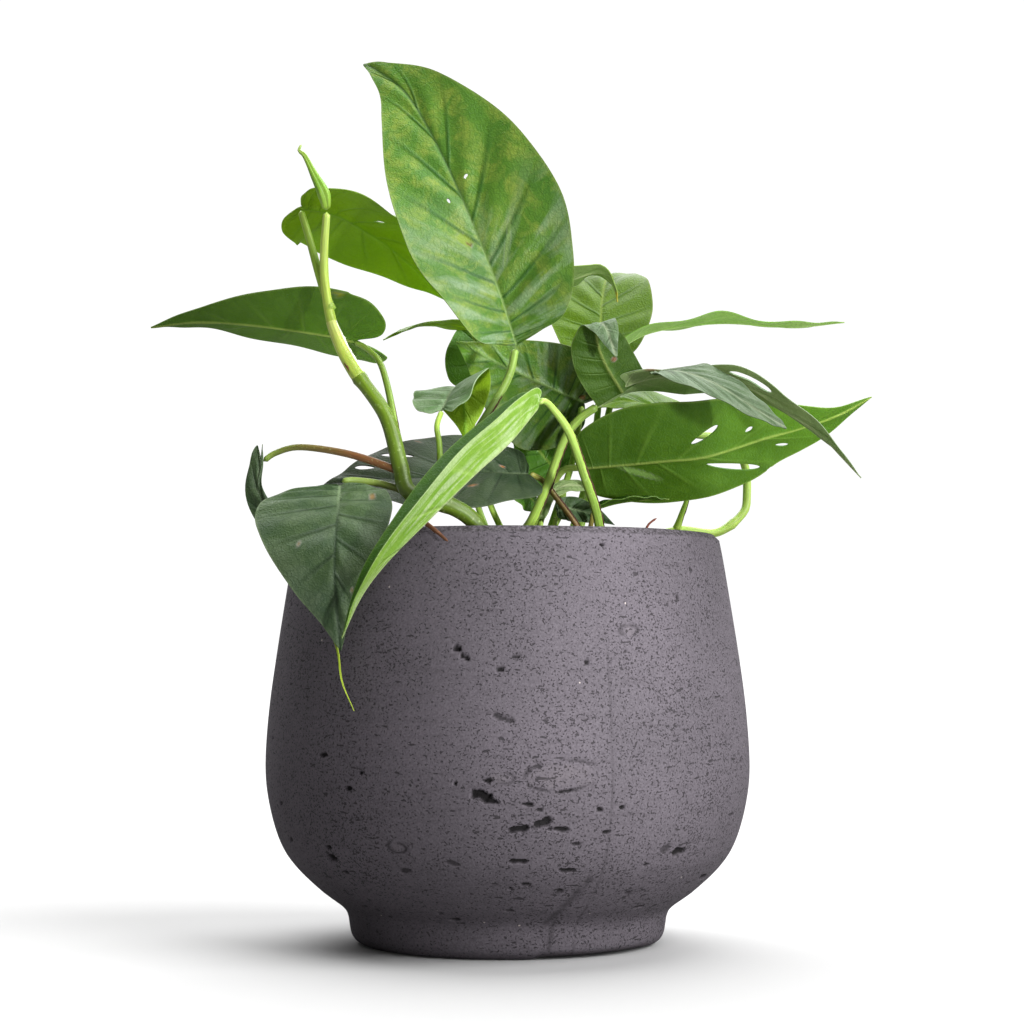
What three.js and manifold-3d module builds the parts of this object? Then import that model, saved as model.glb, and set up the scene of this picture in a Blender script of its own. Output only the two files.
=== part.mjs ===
// A young blue-green climbing aroid in a heavy concrete pot, in millimetres, +Z up.
// The origin is the centre of the pot's foot, on the surface that it stands on; -Y is the front.
import * as THREE from "three";
import { mergeVertices } from "three/addons/utils/BufferGeometryUtils.js";
import Module from "manifold-3d";

const wasm = await Module();
wasm.setup();

// Driving dimensions
const POT_RADIUS = 85;
const POT_HEIGHT = 142.5;
const RIM_RADIUS = 74.8;
const POT_WALL = 8;
const POT_FLOOR = 14;
const FLOOR_RADIUS = 44;
const RIM_CHAMFER = 2;
const SOIL_BELOW_RIM = 12;
const TOUCH_GAP = 0.35;
const BLADE_THICKNESS = 0.8;
const RIB_HEIGHT = 0.5;
const MIDRIB_ROUND = 0.9;
const POT_SEGMENTS = 44;
const BELLY_STEPS = 15;
const SOIL_SEGMENTS = 32;
const WELD = 1e-4;

const COLOURS = {
  concrete: 0x5b5659,
  soil: 0x3a2a20,
  stem: 0x7fa83c,
  root: 0x7a4a2a,
  blue: 0x4c6f5a,
  green: 0x4f8a3a,
  bright: 0x7db83c,
};

const finish = (colour, roughness) =>
  new THREE.MeshStandardMaterial({ color: colour, roughness, metalness: 0 });

// Solids: closed meshes to and from the boolean library

function bare(geometry) {
  const copy = geometry.clone();
  copy.deleteAttribute("normal");
  copy.deleteAttribute("uv");
  return mergeVertices(copy, WELD);
}

function toSolid(geometry) {
  const merged = bare(geometry);
  return new wasm.Manifold(new wasm.Mesh({
    numProp: 3,
    vertProperties: new Float32Array(merged.attributes.position.array),
    triVerts: new Uint32Array(merged.index.array),
  }));
}

function toGeometry(solid) {
  const mesh = solid.getMesh();
  const geometry = new THREE.BufferGeometry();
  geometry.setAttribute("position", new THREE.BufferAttribute(new Float32Array(mesh.vertProperties), 3));
  geometry.setIndex(new THREE.BufferAttribute(new Uint32Array(mesh.triVerts), 1));
  geometry.computeVertexNormals();
  return geometry;
}

const vec = (p) => new THREE.Vector3(p[0], p[1], p[2]);
const radians = THREE.MathUtils.degToRad;

// Pot: the outside runs from the foot's corner up the belly to the chamfered rim

const FOOT = [[0, 0], [49.5, 0], [51.4, 0.5], [53.4, 1.7], [54.7, 3.7], [55.3, 6.5], [55.7, 9.3]];
const BELLY = [
  [56.4, 11.4], [58.6, 13.7], [66, 19.2], [74.7, 27.6], [79.9, 36], [83.6, 48.6],
  [POT_RADIUS, 62], [83.7, 82], [80.4, 107], [76.4, 132],
  [RIM_RADIUS, POT_HEIGHT - RIM_CHAMFER],
];

function curveThrough(points, steps) {
  return new THREE.SplineCurve(points.map(([r, z]) => new THREE.Vector2(r, z))).getPoints(steps);
}

const FINE_STEPS = 60; // enough to read the belly's radius at any height

function insideRadius(z) {
  const outside = curveThrough(BELLY, FINE_STEPS);
  const above = outside.findIndex((p) => p.y >= z);
  return (above < 0 ? outside.at(-1).x : outside[above].x) - POT_WALL;
}

const INSIDE_LEVELS = [POT_HEIGHT, 116, 92, 68, 48, 36, 27, 20];

function insideWall() {
  const wall = INSIDE_LEVELS.map((z) => new THREE.Vector2(insideRadius(z), z));
  return [...wall, new THREE.Vector2(FLOOR_RADIUS, POT_FLOOR)];
}

function potShell() {
  const outside = [
    ...FOOT.map(([r, z]) => new THREE.Vector2(r, z)),
    ...curveThrough(BELLY, BELLY_STEPS),
    new THREE.Vector2(RIM_RADIUS - RIM_CHAMFER, POT_HEIGHT),
  ];
  const inside = [...insideWall(), new THREE.Vector2(0, POT_FLOOR)];
  return new THREE.LatheGeometry([...outside, ...inside], POT_SEGMENTS).rotateX(Math.PI / 2);
}

// Soil: follows the inside of the pot with a small gap, and is slightly mounded on top

const SOIL_TOP = POT_HEIGHT - SOIL_BELOW_RIM;
const SOIL_MOUND = [[0, 2.5], [22, 2], [44, 0.8]];
const SHORTEST_STEP = 1;

function soilBody() {
  const wall = insideWall()
    .filter((p) => p.y < SOIL_TOP - SHORTEST_STEP)
    .map((p) => new THREE.Vector2(p.x - TOUCH_GAP, Math.max(p.y, POT_FLOOR + TOUCH_GAP)))
    .reverse();
  const top = SOIL_MOUND.map(([r, rise]) => new THREE.Vector2(r, SOIL_TOP + rise)).reverse();
  const profile = [
    new THREE.Vector2(0, POT_FLOOR + TOUCH_GAP),
    ...wall,
    new THREE.Vector2(insideRadius(SOIL_TOP) - TOUCH_GAP, SOIL_TOP),
    ...top,
  ];
  return toSolid(new THREE.LatheGeometry(profile, SOIL_SEGMENTS).rotateX(Math.PI / 2));
}

// Smooth paths, and values that change evenly along them

function along(values, a) {
  const place = Math.min(Math.max(a, 0), 1) * (values.length - 1);
  const low = Math.min(Math.floor(place), values.length - 2);
  const share = place - low;
  if (typeof values[0] === "number") return values[low] * (1 - share) + values[low + 1] * share;
  return vec(values[low]).lerp(vec(values[low + 1]), share);
}

function smoothPath(points) {
  return new THREE.CatmullRomCurve3(points.map(vec), false, "catmullrom", 0.5);
}

// Stems: a round tube along a smooth path, thick or thin by its own list of radii, with closed ends

function tube({ points, radii, steps = 8, sides = 6 }, extra = 0) {
  const path = smoothPath(points);
  const frames = path.computeFrenetFrames(steps, false);
  const corners = [];
  for (let i = 0; i <= steps; i += 1) {
    const centre = path.getPointAt(i / steps);
    const radius = along(radii, i / steps) + extra;
    for (let k = 0; k < sides; k += 1) {
      const turn = (k / sides) * 2 * Math.PI;
      corners.push(centre.clone()
        .addScaledVector(frames.normals[i], Math.cos(turn) * radius)
        .addScaledVector(frames.binormals[i], Math.sin(turn) * radius));
    }
  }
  const start = corners.push(path.getPointAt(0)) - 1;
  const end = corners.push(path.getPointAt(1)) - 1;
  const faces = [];
  for (let k = 0; k < sides; k += 1) {
    const next = (k + 1) % sides;
    for (let i = 0; i < steps; i += 1) {
      const [p, q] = [i * sides + k, i * sides + next];
      faces.push(p, q, q + sides, p, q + sides, p + sides);
    }
    faces.push(start, next, k);
    faces.push(end, steps * sides + k, steps * sides + next);
  }
  const geometry = new THREE.BufferGeometry().setFromPoints(corners);
  geometry.setIndex(faces);
  return toSolid(geometry);
}

// Leaf blades. A blade is laid out flat, a along the midrib from 0 at the stalk to 1 at the tip and b
// across it from -1 to 1, and then bent: the midrib follows the spine, and each half folds up and curls.

const HEART = [
  [0, 0.03], [-0.07, 0.3], [-0.03, 0.62], [0.1, 0.9], [0.27, 1],
  [0.5, 0.84], [0.72, 0.5], [0.88, 0.2], [1, 0.012],
];
const HEART_BELLY = 0.27;
const RIB_SWEEP = 2.5;
const NUDGE = 1e-3;
const NEARLY_FLAT = 1e-6;

// How far the outline's first points move with the lobe, as shares of the midrib
const NOTCH_SHIFT = 0.012;
const NOTCH_FROM = 0.25;
const LOBE_SHIFT = 0.07;
const WEDGE_SHIFT = 0.03;
const SHOULDER_SHIFT = 0.05;
const LONG_TIP = { length: 0.8, width: 0.07 };
const TIP = HEART.at(-1);

// The heart of one leaf: belly moves its widest place along the midrib, lobe deepens the two lobes beside
// the stalk, or makes a wedge where it is below 0, and drip draws the tip out long and narrow by its share.
// The first point lies behind the stalk, so that no side rib crosses the one before it
function heart(leaf) {
  const lobe = leaf.lobe ?? 1;
  const wedge = Math.min(lobe, 0);
  const belly = Math.log(leaf.belly ?? HEART_BELLY) / Math.log(HEART_BELLY);
  const shape = HEART.map(([a, b]) => [a < 0 ? a : a ** belly, b]);
  shape[0][0] = -NOTCH_SHIFT * Math.max(lobe + NOTCH_FROM, 0);
  shape[1][0] = -LOBE_SHIFT * Math.max(lobe, 0) - WEDGE_SHIFT * wedge;
  shape[2][0] += SHOULDER_SHIFT * (1 - lobe);
  shape[3][0] -= SHOULDER_SHIFT * wedge;
  if (!leaf.drip) return shape;
  const body = shape.slice(0, -1).map(([a, b]) => [a * (1 - leaf.drip), b]);
  return [...body, [1 - leaf.drip * LONG_TIP.length, LONG_TIP.width], TIP];
}

function outlinePoint(leaf, u) {
  return new THREE.SplineCurve(leaf.outline.map(([a, b]) => new THREE.Vector2(a, b))).getPoint(u);
}

function bladePoint(leaf, a, b) {
  const inside = Math.min(Math.max(a, 0), 1);
  const side = b < 0 ? -1 : 1;
  const half = b < 0 ? leaf.minus : leaf.plus;
  const centre = leaf.path.getPointAt(inside);
  const tangent = leaf.path.getTangentAt(inside);
  const face = along(leaf.face, inside);
  face.addScaledVector(tangent, -face.dot(tangent)).normalize();
  const across = tangent.clone().cross(face);
  const reach = Math.abs(b) * half.width * along(half.share ?? [1, 1], inside);
  const curl = radians(along(half.curl, inside)) * Math.abs(b);
  const bend = Math.min(radians(along(half.fold, inside)), reach / MIDRIB_ROUND);
  const rest = reach - bend * MIDRIB_ROUND; // what is left beyond the round at the midrib
  const middle = bend + curl / 2;
  const chord = Math.abs(curl) < NEARLY_FLAT ? rest : (rest * Math.sin(curl / 2)) / (curl / 2);
  const [height, count, phase] = leaf.wave ?? [0, 0, 0];
  const wave = height * b * b * Math.sin(2 * Math.PI * count * a + side * phase);
  const out = MIDRIB_ROUND * Math.sin(bend) + chord * Math.cos(middle);
  const rise = MIDRIB_ROUND * (1 - Math.cos(bend)) + chord * Math.sin(middle) + wave;
  return centre
    .addScaledVector(tangent, (a - inside) * leaf.length)
    .addScaledVector(across, side * out)
    .addScaledVector(face, rise);
}

// The way that the upper face looks at one place of the bent blade
function bladeNormal(leaf, a, b) {
  const onward = bladePoint(leaf, a + NUDGE, b).sub(bladePoint(leaf, a - NUDGE, b));
  const aside = bladePoint(leaf, a, b + NUDGE).sub(bladePoint(leaf, a, b - NUDGE));
  return aside.cross(onward).normalize();
}

// Flat places in rows that follow the side ribs, from the stalk to the tip
function bladeGrid(leaf) {
  const { rows, columns } = leaf;
  const places = [];
  for (let i = 0; i <= rows; i += 1) {
    const edge = outlinePoint(leaf, i / rows);
    const root = (i / rows) ** (leaf.sweep ?? RIB_SWEEP); // where this side rib leaves the midrib
    for (let j = -columns; j <= columns; j += 1) {
      const t = Math.abs(j) / columns;
      places.push([root + (edge.x - root) * t, (edge.y * j) / columns]);
    }
  }
  return places;
}

// The grid's triangles, with its squares split alike on both sides of the midrib
function bladeFaces({ rows, columns }) {
  const wide = 2 * columns + 1;
  const faces = [];
  for (let i = 0; i < rows; i += 1) {
    for (let j = 0; j < 2 * columns; j += 1) {
      const p = i * wide + j;
      if (j < columns) faces.push([p, p + 1, p + wide], [p + 1, p + wide + 1, p + wide]);
      else faces.push([p, p + 1, p + wide + 1], [p, p + wide + 1, p + wide]);
    }
  }
  return faces;
}

function bladeBorder({ rows, columns }) {
  const wide = 2 * columns + 1;
  const border = [];
  for (let j = 0; j < 2 * columns; j += 1) border.push(j);
  for (let i = 0; i < rows; i += 1) border.push(i * wide + 2 * columns);
  for (let j = 2 * columns; j > 0; j -= 1) border.push(rows * wide + j);
  for (let i = rows; i > 0; i -= 1) border.push(i * wide);
  return border;
}

// Gives the sheet its thickness, with the midrib standing out of the underside and fading to the tip
function bladeSolid(leaf, thickness = BLADE_THICKNESS) {
  const places = bladeGrid(leaf);
  const count = places.length;
  const wide = 2 * leaf.columns + 1;
  const top = [];
  const under = [];
  places.forEach(([a, b], k) => {
    const point = bladePoint(leaf, a, b);
    const lift = bladeNormal(leaf, a, b);
    const rib = k % wide === leaf.columns ? RIB_HEIGHT * (1 - k / count) : 0;
    top.push(point.clone().addScaledVector(lift, thickness / 2));
    under.push(point.clone().addScaledVector(lift, -thickness / 2 - rib));
  });
  const all = [];
  for (const [p, q, r] of bladeFaces(leaf)) all.push(p, q, r, p + count, r + count, q + count);
  const border = bladeBorder(leaf);
  border.forEach((k, n) => {
    const next = border[(n + 1) % border.length];
    all.push(k, k + count, next + count, k, next + count, next);
  });
  const closed = new THREE.BufferGeometry().setFromPoints([...top, ...under]);
  closed.setIndex(all);
  return toSolid(closed);
}

// A hole or a notch is an oval in the flat blade, pushed straight through where it lies

const HOLE_SIDES = 10;
const HOLE_DEPTH = 4;

function holeSolid(leaf, hole) {
  const side = Math.sign(hole.b);
  const through = bladeNormal(leaf, hole.a, hole.b);
  const width = side < 0 ? leaf.minus.width : leaf.plus.width;
  const turn = radians(hole.turn ?? 0);
  const ring = [];
  for (let k = 0; k < HOLE_SIDES; k += 1) {
    const angle = (k / HOLE_SIDES) * 2 * Math.PI;
    const x = (Math.cos(angle) * hole.size[0]) / 2;
    const y = (Math.sin(angle) * hole.size[1]) / 2;
    const a = hole.a + (x * Math.cos(turn) - y * Math.sin(turn)) / leaf.length;
    const b = hole.b + (side * (x * Math.sin(turn) + y * Math.cos(turn))) / width;
    ring.push(bladePoint(leaf, a, b));
  }
  const corners = [
    ...ring.map((p) => p.clone().addScaledVector(through, -HOLE_DEPTH)),
    ...ring.map((p) => p.clone().addScaledVector(through, HOLE_DEPTH)),
  ];
  return wasm.Manifold.hull(corners.map((p) => [p.x, p.y, p.z]));
}

function prepare(leaf) {
  leaf.path = smoothPath(leaf.spine);
  leaf.length = leaf.path.getLength();
  leaf.outline ??= heart(leaf);
  leaf.rows ??= 10;
  leaf.columns ??= 3;
}

function bladeWithHoles(leaf) {
  let solid = bladeSolid(leaf);
  for (const hole of leaf.holes ?? []) solid = solid.subtract(holeSolid(leaf, hole));
  for (const flap of leaf.flaps ?? []) solid = solid.add(bladeSolid(flap));
  return solid;
}

const half = (width, fold, curl, share) => ({ width, fold, curl, share });
const FLAT = [0, 0];

// The leaves, each named for where it stands. Each lists its spine, the way its upper face looks along it,
// and its two halves: width, then fold and curl in degrees and the share of the width that is there along
// it. A smaller sweep spreads the side ribs more evenly, which a blade with a sharp bend needs
const LEAVES = [
  {
    name: "leaf_tall_front", colour: COLOURS.green,
    spine: [[3, -36, 206], [-5, -39, 230], [-20, -34, 267], [-34, -24, 294], [-45, -17, 305],
      [-51, -12, 309]],
    face: [[0.1, -0.93, 0.35], [-0.1, -0.92, 0.35], [-0.2, -0.9, 0.35]],
    plus: half(32, [30, 14, 6, 4], [6, 6, 10]), minus: half(26, [30, 14, 6, 4], [6, 6, 4]),
    belly: 0.34, lobe: -0.6, wave: [0.8, 3, 0.6], rows: 14,
    holes: [{ a: 0.49, b: 0.13, size: [2, 1.3], turn: 60 }, { a: 0.44, b: -0.2, size: [2, 1.3] }],
  },
  {
    name: "leaf_upper_left", colour: COLOURS.bright,
    spine: [[-71, -30, 255], [-60, -22, 254], [-51, -8, 251], [-40, 4, 245], [-21, 18, 229]],
    face: [[0.1, 0.65, 0.75], [0.1, 0.65, 0.75]],
    plus: half(19, [10, 6], [-60, -20]), minus: half(22, FLAT, FLAT),
    belly: 0.3, lobe: 0.5, rows: 12,
    holes: [{ a: 0.405, b: 0.38, size: [5.5, 1.5], turn: 25 }],
  },
  {
    name: "leaf_left", colour: COLOURS.green,
    spine: [[-55, -12, 211], [-63, -11, 213], [-90, -8, 217], [-110, -8, 218], [-126, -8, 216]],
    face: [[-0.05, 0.6, 0.8], [-0.05, 0.6, 0.8]],
    plus: half(16, [19, 19], FLAT), minus: half(22, FLAT, FLAT),
    outline: [[-0.03, 0.03], [-0.16, 0.3], [-0.16, 0.7], [-0.06, 0.97], [0.12, 1.04], [0.4, 0.82],
      [0.66, 0.45], [0.86, 0.17], [1, 0.012]],
    rows: 12,
  },
  {
    name: "leaf_back_slim", colour: COLOURS.bright,
    spine: [[-3, 25, 219], [-25, 18, 221], [-35, 14, 219], [-45, 10, 214]],
    face: [[0.05, 0, 1], [0, 0, 1]],
    plus: half(11, FLAT, FLAT), minus: half(11, FLAT, FLAT), belly: 0.35, lobe: 0.5, rows: 8,
  },
  {
    name: "leaf_round_back", colour: COLOURS.bright,
    spine: [[33, 24, 212], [34, 28, 220], [35, 36, 232], [37, 46, 242], [39, 60, 245], [40, 72, 243]],
    face: [[0, -0.9, 0.4], [0, -0.8, 0.6], [0, -0.5, 0.9], [0, 0, 1], [0, 0.2, 1]],
    plus: half(19, FLAT, FLAT), minus: half(20, FLAT, FLAT), belly: 0.34, lobe: 0.7,
  },
  {
    name: "leaf_tip_behind", colour: COLOURS.green,
    spine: [[-1, 2, 226], [11, -3, 230], [24, -6, 234], [31.5, -5.6, 236], [36, -5.8, 233.5],
      [38.2, -6.8, 229.5], [39, -8, 225]],
    face: [[0, 0.1, 1], [0, 0.2, 1], [0, 0.25, 1], [0.6, 0.2, 0.75], [0.95, 0.1, 0.28]],
    plus: half(10, [8, 8], FLAT), minus: half(10, [8, 8], FLAT), lobe: 0.6, rows: 10,
  },
  {
    name: "leaf_far_right", colour: COLOURS.green,
    spine: [[38, 8, 210], [52, 8, 217], [76, 8, 220], [101, 4, 218], [120, 0, 219]],
    face: [[0.05, -0.03, 1], [0.05, -0.03, 1]],
    plus: half(16, [4, 4], FLAT), minus: half(16, [4, 4], FLAT),
    belly: 0.36, lobe: 0.3, wave: [1.2, 2.5, 0.4],
  },
  {
    name: "leaf_lobed", colour: COLOURS.green,
    spine: [[32, -13, 188], [38, -16, 193], [46, -20, 196], [53, -23.5, 197], [66, -30, 197],
      [81, -38, 192], [94, -42, 183], [106, -45, 174], [119, -46, 160]],
    face: [[-0.2, 0.35, 0.91], [0, 0.3, 0.95], [0.5, 0, 0.8], [0.8, 0, 0.5]],
    plus: half(10, [35, 35], FLAT, [0.3, 0.5, 0.25, 0.3, 0.8, 1, 1, 1, 1]),
    minus: half(20, FLAT, FLAT, [0.15, 0.5, 0.9, 1, 0.9, 0.7, 0.6, 0.6, 0.6]),
    belly: 0.3, lobe: 0, rows: 18,
    holes: [{ a: 0.5475, b: 0.44, size: [15.5, 3.2], turn: -5 }],
    flaps: [
      {
        spine: [[40, -17, 192], [34, -22, 201], [31, -26, 208], [30.5, -29, 212.5], [31.5, -32, 214.3],
          [33.5, -35.2, 212.3], [35.2, -36.6, 207.5], [37, -37, 202]],
        face: [[-0.1, 0.9, 0.4], [-0.15, 0.85, 0.45], [-0.2, 0.77, 0.54], [-0.25, 0.35, 0.85],
          [-0.2, -0.8, 0.5], [-0.2, -0.9, 0.35]],
        plus: half(10, FLAT, FLAT), minus: half(10, FLAT, FLAT), rows: 14, columns: 2, sweep: 1.2,
        outline: [[0, 1], [0.25, 1.05], [0.45, 0.95], [0.62, 0.6], [0.82, 0.35], [1, 0.04]],
      },
      {
        spine: [[51, -24, 198], [59, -36, 197], [70, -44, 192], [81, -50, 184], [93, -53, 176]],
        face: [[0.1, -0.4, 0.85], [0.3, -0.8, 0.6], [0.4, -0.8, 0.5], [0.4, -0.8, 0.5]],
        plus: half(7, FLAT, FLAT), minus: half(8, FLAT, FLAT), rows: 8, columns: 2,
        outline: [[0, 0.35], [0.2, 1], [0.55, 0.95], [0.85, 0.5], [1, 0.04]],
      },
    ],
  },
  {
    name: "leaf_right", colour: COLOURS.green,
    spine: [[27, 0, 167], [42, -3, 168], [55, -6, 169], [68, -8, 170], [79, -8, 173], [91, -8, 177],
      [102, -7, 180], [116, -5, 185], [129, -2, 192]],
    face: [[0, 0.75, 0.66], [0, 0.75, 0.66]],
    plus: half(24, [4, 4], FLAT, [1, 1, 1, 1, 0.9, 0.6, 0.45]), minus: half(20, [4, 4], FLAT),
    belly: 0.3, lobe: 0.2, rows: 14,
    holes: [
      { a: 0.415, b: 0.365, size: [12, 3], turn: 25 },
      { a: 0.565, b: 0.24, size: [3, 1.8], turn: 25 },
      { a: 0.665, b: -0.26, size: [5, 1.8], turn: 15 },
      { a: 0.4875, b: -0.395, size: [20, 3.4], turn: 26 },
    ],
  },
  {
    name: "leaf_folded", colour: COLOURS.bright,
    spine: [[9, -47, 183], [0, -57, 171], [-11, -66, 160], [-26, -77, 144], [-39, -83, 130],
      [-47, -84, 119], [-53, -83, 106]],
    face: [[-0.7, -0.1, 0.7], [-0.8, -0.15, 0.55], [-0.9, -0.2, 0.3]],
    plus: half(13, [70, 65, 58], FLAT), minus: half(11, [55, 45], FLAT),
    belly: 0.3, lobe: 0.8, sweep: 1.9, rows: 14,
  },
  {
    name: "leaf_hanging", colour: COLOURS.blue,
    spine: [[-56, -50, 157], [-56, -62, 145], [-56, -71, 126], [-54, -71, 102]],
    face: [[-0.05, -0.75, 0.66], [-0.1, -1, 0.05]],
    plus: half(28, FLAT, [-10, 0]), minus: half(18, FLAT, [-10, 0]),
    belly: 0.2, lobe: 0.2,
  },
  {
    name: "leaf_far_left", colour: COLOURS.blue,
    spine: [[-84, -36, 166], [-84, -40, 156], [-77, -46, 143], [-68, -54, 128], [-60, -62, 114],
      [-55.4, -68.5, 102], [-53.6, -72, 92], [-49.5, -73.5, 82.5]],
    face: [[-0.35, -0.93, 0.1], [-0.35, -0.93, 0.1]],
    plus: half(5.5, FLAT, FLAT), minus: half(7, FLAT, FLAT, [0.15, 0.3, 0.8, 1, 1, 1, 1]),
    belly: 0.27, lobe: 1.3, drip: 0.25, sweep: 1.6, rows: 18,
  },
  {
    name: "leaf_middle_left", colour: COLOURS.blue,
    spine: [[7, -8, 164], [-10, -14, 164], [-27, -19, 162], [-46, -24, 161], [-63, -28, 159]],
    face: [[0, -0.6, 0.8], [0, -0.6, 0.8]],
    plus: half(24, [4, 4], FLAT), minus: half(24, [4, 4], FLAT), belly: 0.4, lobe: 0.4,
    holes: [{ a: 0.785, b: 0.29, size: [7, 3], turn: 8 }, { a: 0.61, b: 0.57, size: [12, 3.2], turn: 5 }],
  },
  {
    name: "leaf_small_curled", colour: COLOURS.green,
    spine: [[-22, -32, 185], [-19, -26, 192], [-17, -19, 193], [-15, -14, 186], [-15, -12, 176]],
    face: [[-0.35, -0.5, 0.8], [-0.2, 0.2, 0.95], [0, 0.8, 0.5], [0, 1, 0]],
    plus: half(14, [10, 10], FLAT), minus: half(15, [10, 10], FLAT), lobe: 1.2,
  },
  {
    name: "leaf_olive", colour: COLOURS.green,
    spine: [[-7, 40, 204], [-11, 38, 212], [-13, 36, 219], [-14, 34, 227]],
    face: [[0, -0.9, 0.3], [0, -0.9, 0.3]],
    plus: half(14, FLAT, FLAT), minus: half(14, FLAT, FLAT), rows: 8,
  },
  {
    name: "leaf_centre", colour: COLOURS.bright,
    spine: [[27, -2, 190], [13, -6, 196], [-3, -10, 203], [-18, -14, 210]],
    face: [[0.1, 0.88, 0.45], [0.1, 0.88, 0.45]],
    plus: half(26, FLAT, FLAT), minus: half(17, FLAT, FLAT), belly: 0.25, lobe: 1.2,
  },
  {
    name: "leaf_under", colour: COLOURS.green,
    spine: [[19, 12, 165], [13, 14, 172], [7, 14, 179], [0, 12, 184]],
    face: [[-0.5, -0.7, 0.5], [-0.5, -0.7, 0.5]],
    plus: half(13, FLAT, FLAT), minus: half(13, FLAT, FLAT), lobe: 0.3, rows: 8,
  },
  {
    name: "leaf_behind_right", colour: COLOURS.bright,
    spine: [[65, 14, 182], [55, 13, 189], [42, 12, 192], [30, 10, 189]],
    face: [[0, -0.5, 0.9], [0, -0.5, 0.9]],
    plus: half(14, FLAT, FLAT), minus: half(14, FLAT, FLAT), rows: 8,
  },
  {
    name: "leaf_low_left", colour: COLOURS.green,
    spine: [[10.5, 8.5, 154.5], [6, 7, 158], [0, 5, 161], [-6, 3, 162]],
    face: [[0, -0.6, 0.8], [0, -0.6, 0.8]],
    plus: half(5, FLAT, FLAT), minus: half(8, FLAT, FLAT), lobe: 0.3, rows: 8,
  },
  {
    name: "leaf_low_pale", colour: COLOURS.bright,
    spine: [[12, 4, 149], [13, 4, 154], [15.5, 5, 158], [19.5, 7, 160.6], [25, 9, 161.2], [33, 11, 159]],
    face: [[-0.6, -0.6, 0.3], [-0.4, -0.8, 0.5], [0, -0.8, 0.5]],
    plus: half(3.5, FLAT, FLAT), minus: half(3.5, FLAT, FLAT), belly: 0.42, lobe: 0, rows: 12,
  },
  {
    name: "leaf_low_right", colour: COLOURS.green,
    spine: [[17.5, 3, 151.5], [21.5, 3, 152.5], [27.5, 2, 151.2], [33, 1, 149.2], [38, 0, 146.5]],
    face: [[0, -1, 0.1], [0, -1, 0.1]],
    plus: half(4.5, FLAT, FLAT), minus: half(4.5, FLAT, FLAT), lobe: 0.2, rows: 8,
  },
  {
    name: "leaf_low_slim", colour: COLOURS.green,
    spine: [[31, -5, 152.5], [39, -5, 154.5], [49, -5, 155.5], [57, -5, 155.5]],
    face: [[0, -0.1, 1], [0, -0.1, 1]],
    plus: half(6, [12, 12], FLAT), minus: half(6, [12, 12], FLAT), rows: 8, belly: 0.35,
  },
];

// The young leaf that is still rolled up, in rings of its own along a bent cone
const ROLLED_LEAF = {
  points: [[-61.5, -41, 251.6], [-62.5, -42, 257], [-66, -42, 264], [-69, -42, 270], [-71, -41, 272],
    [-70.3, -40, 274.5]],
  radii: [1.3, 2.3, 1.7, 1.1, 0.8, 0.3], steps: 10, sides: 8,
};

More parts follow.
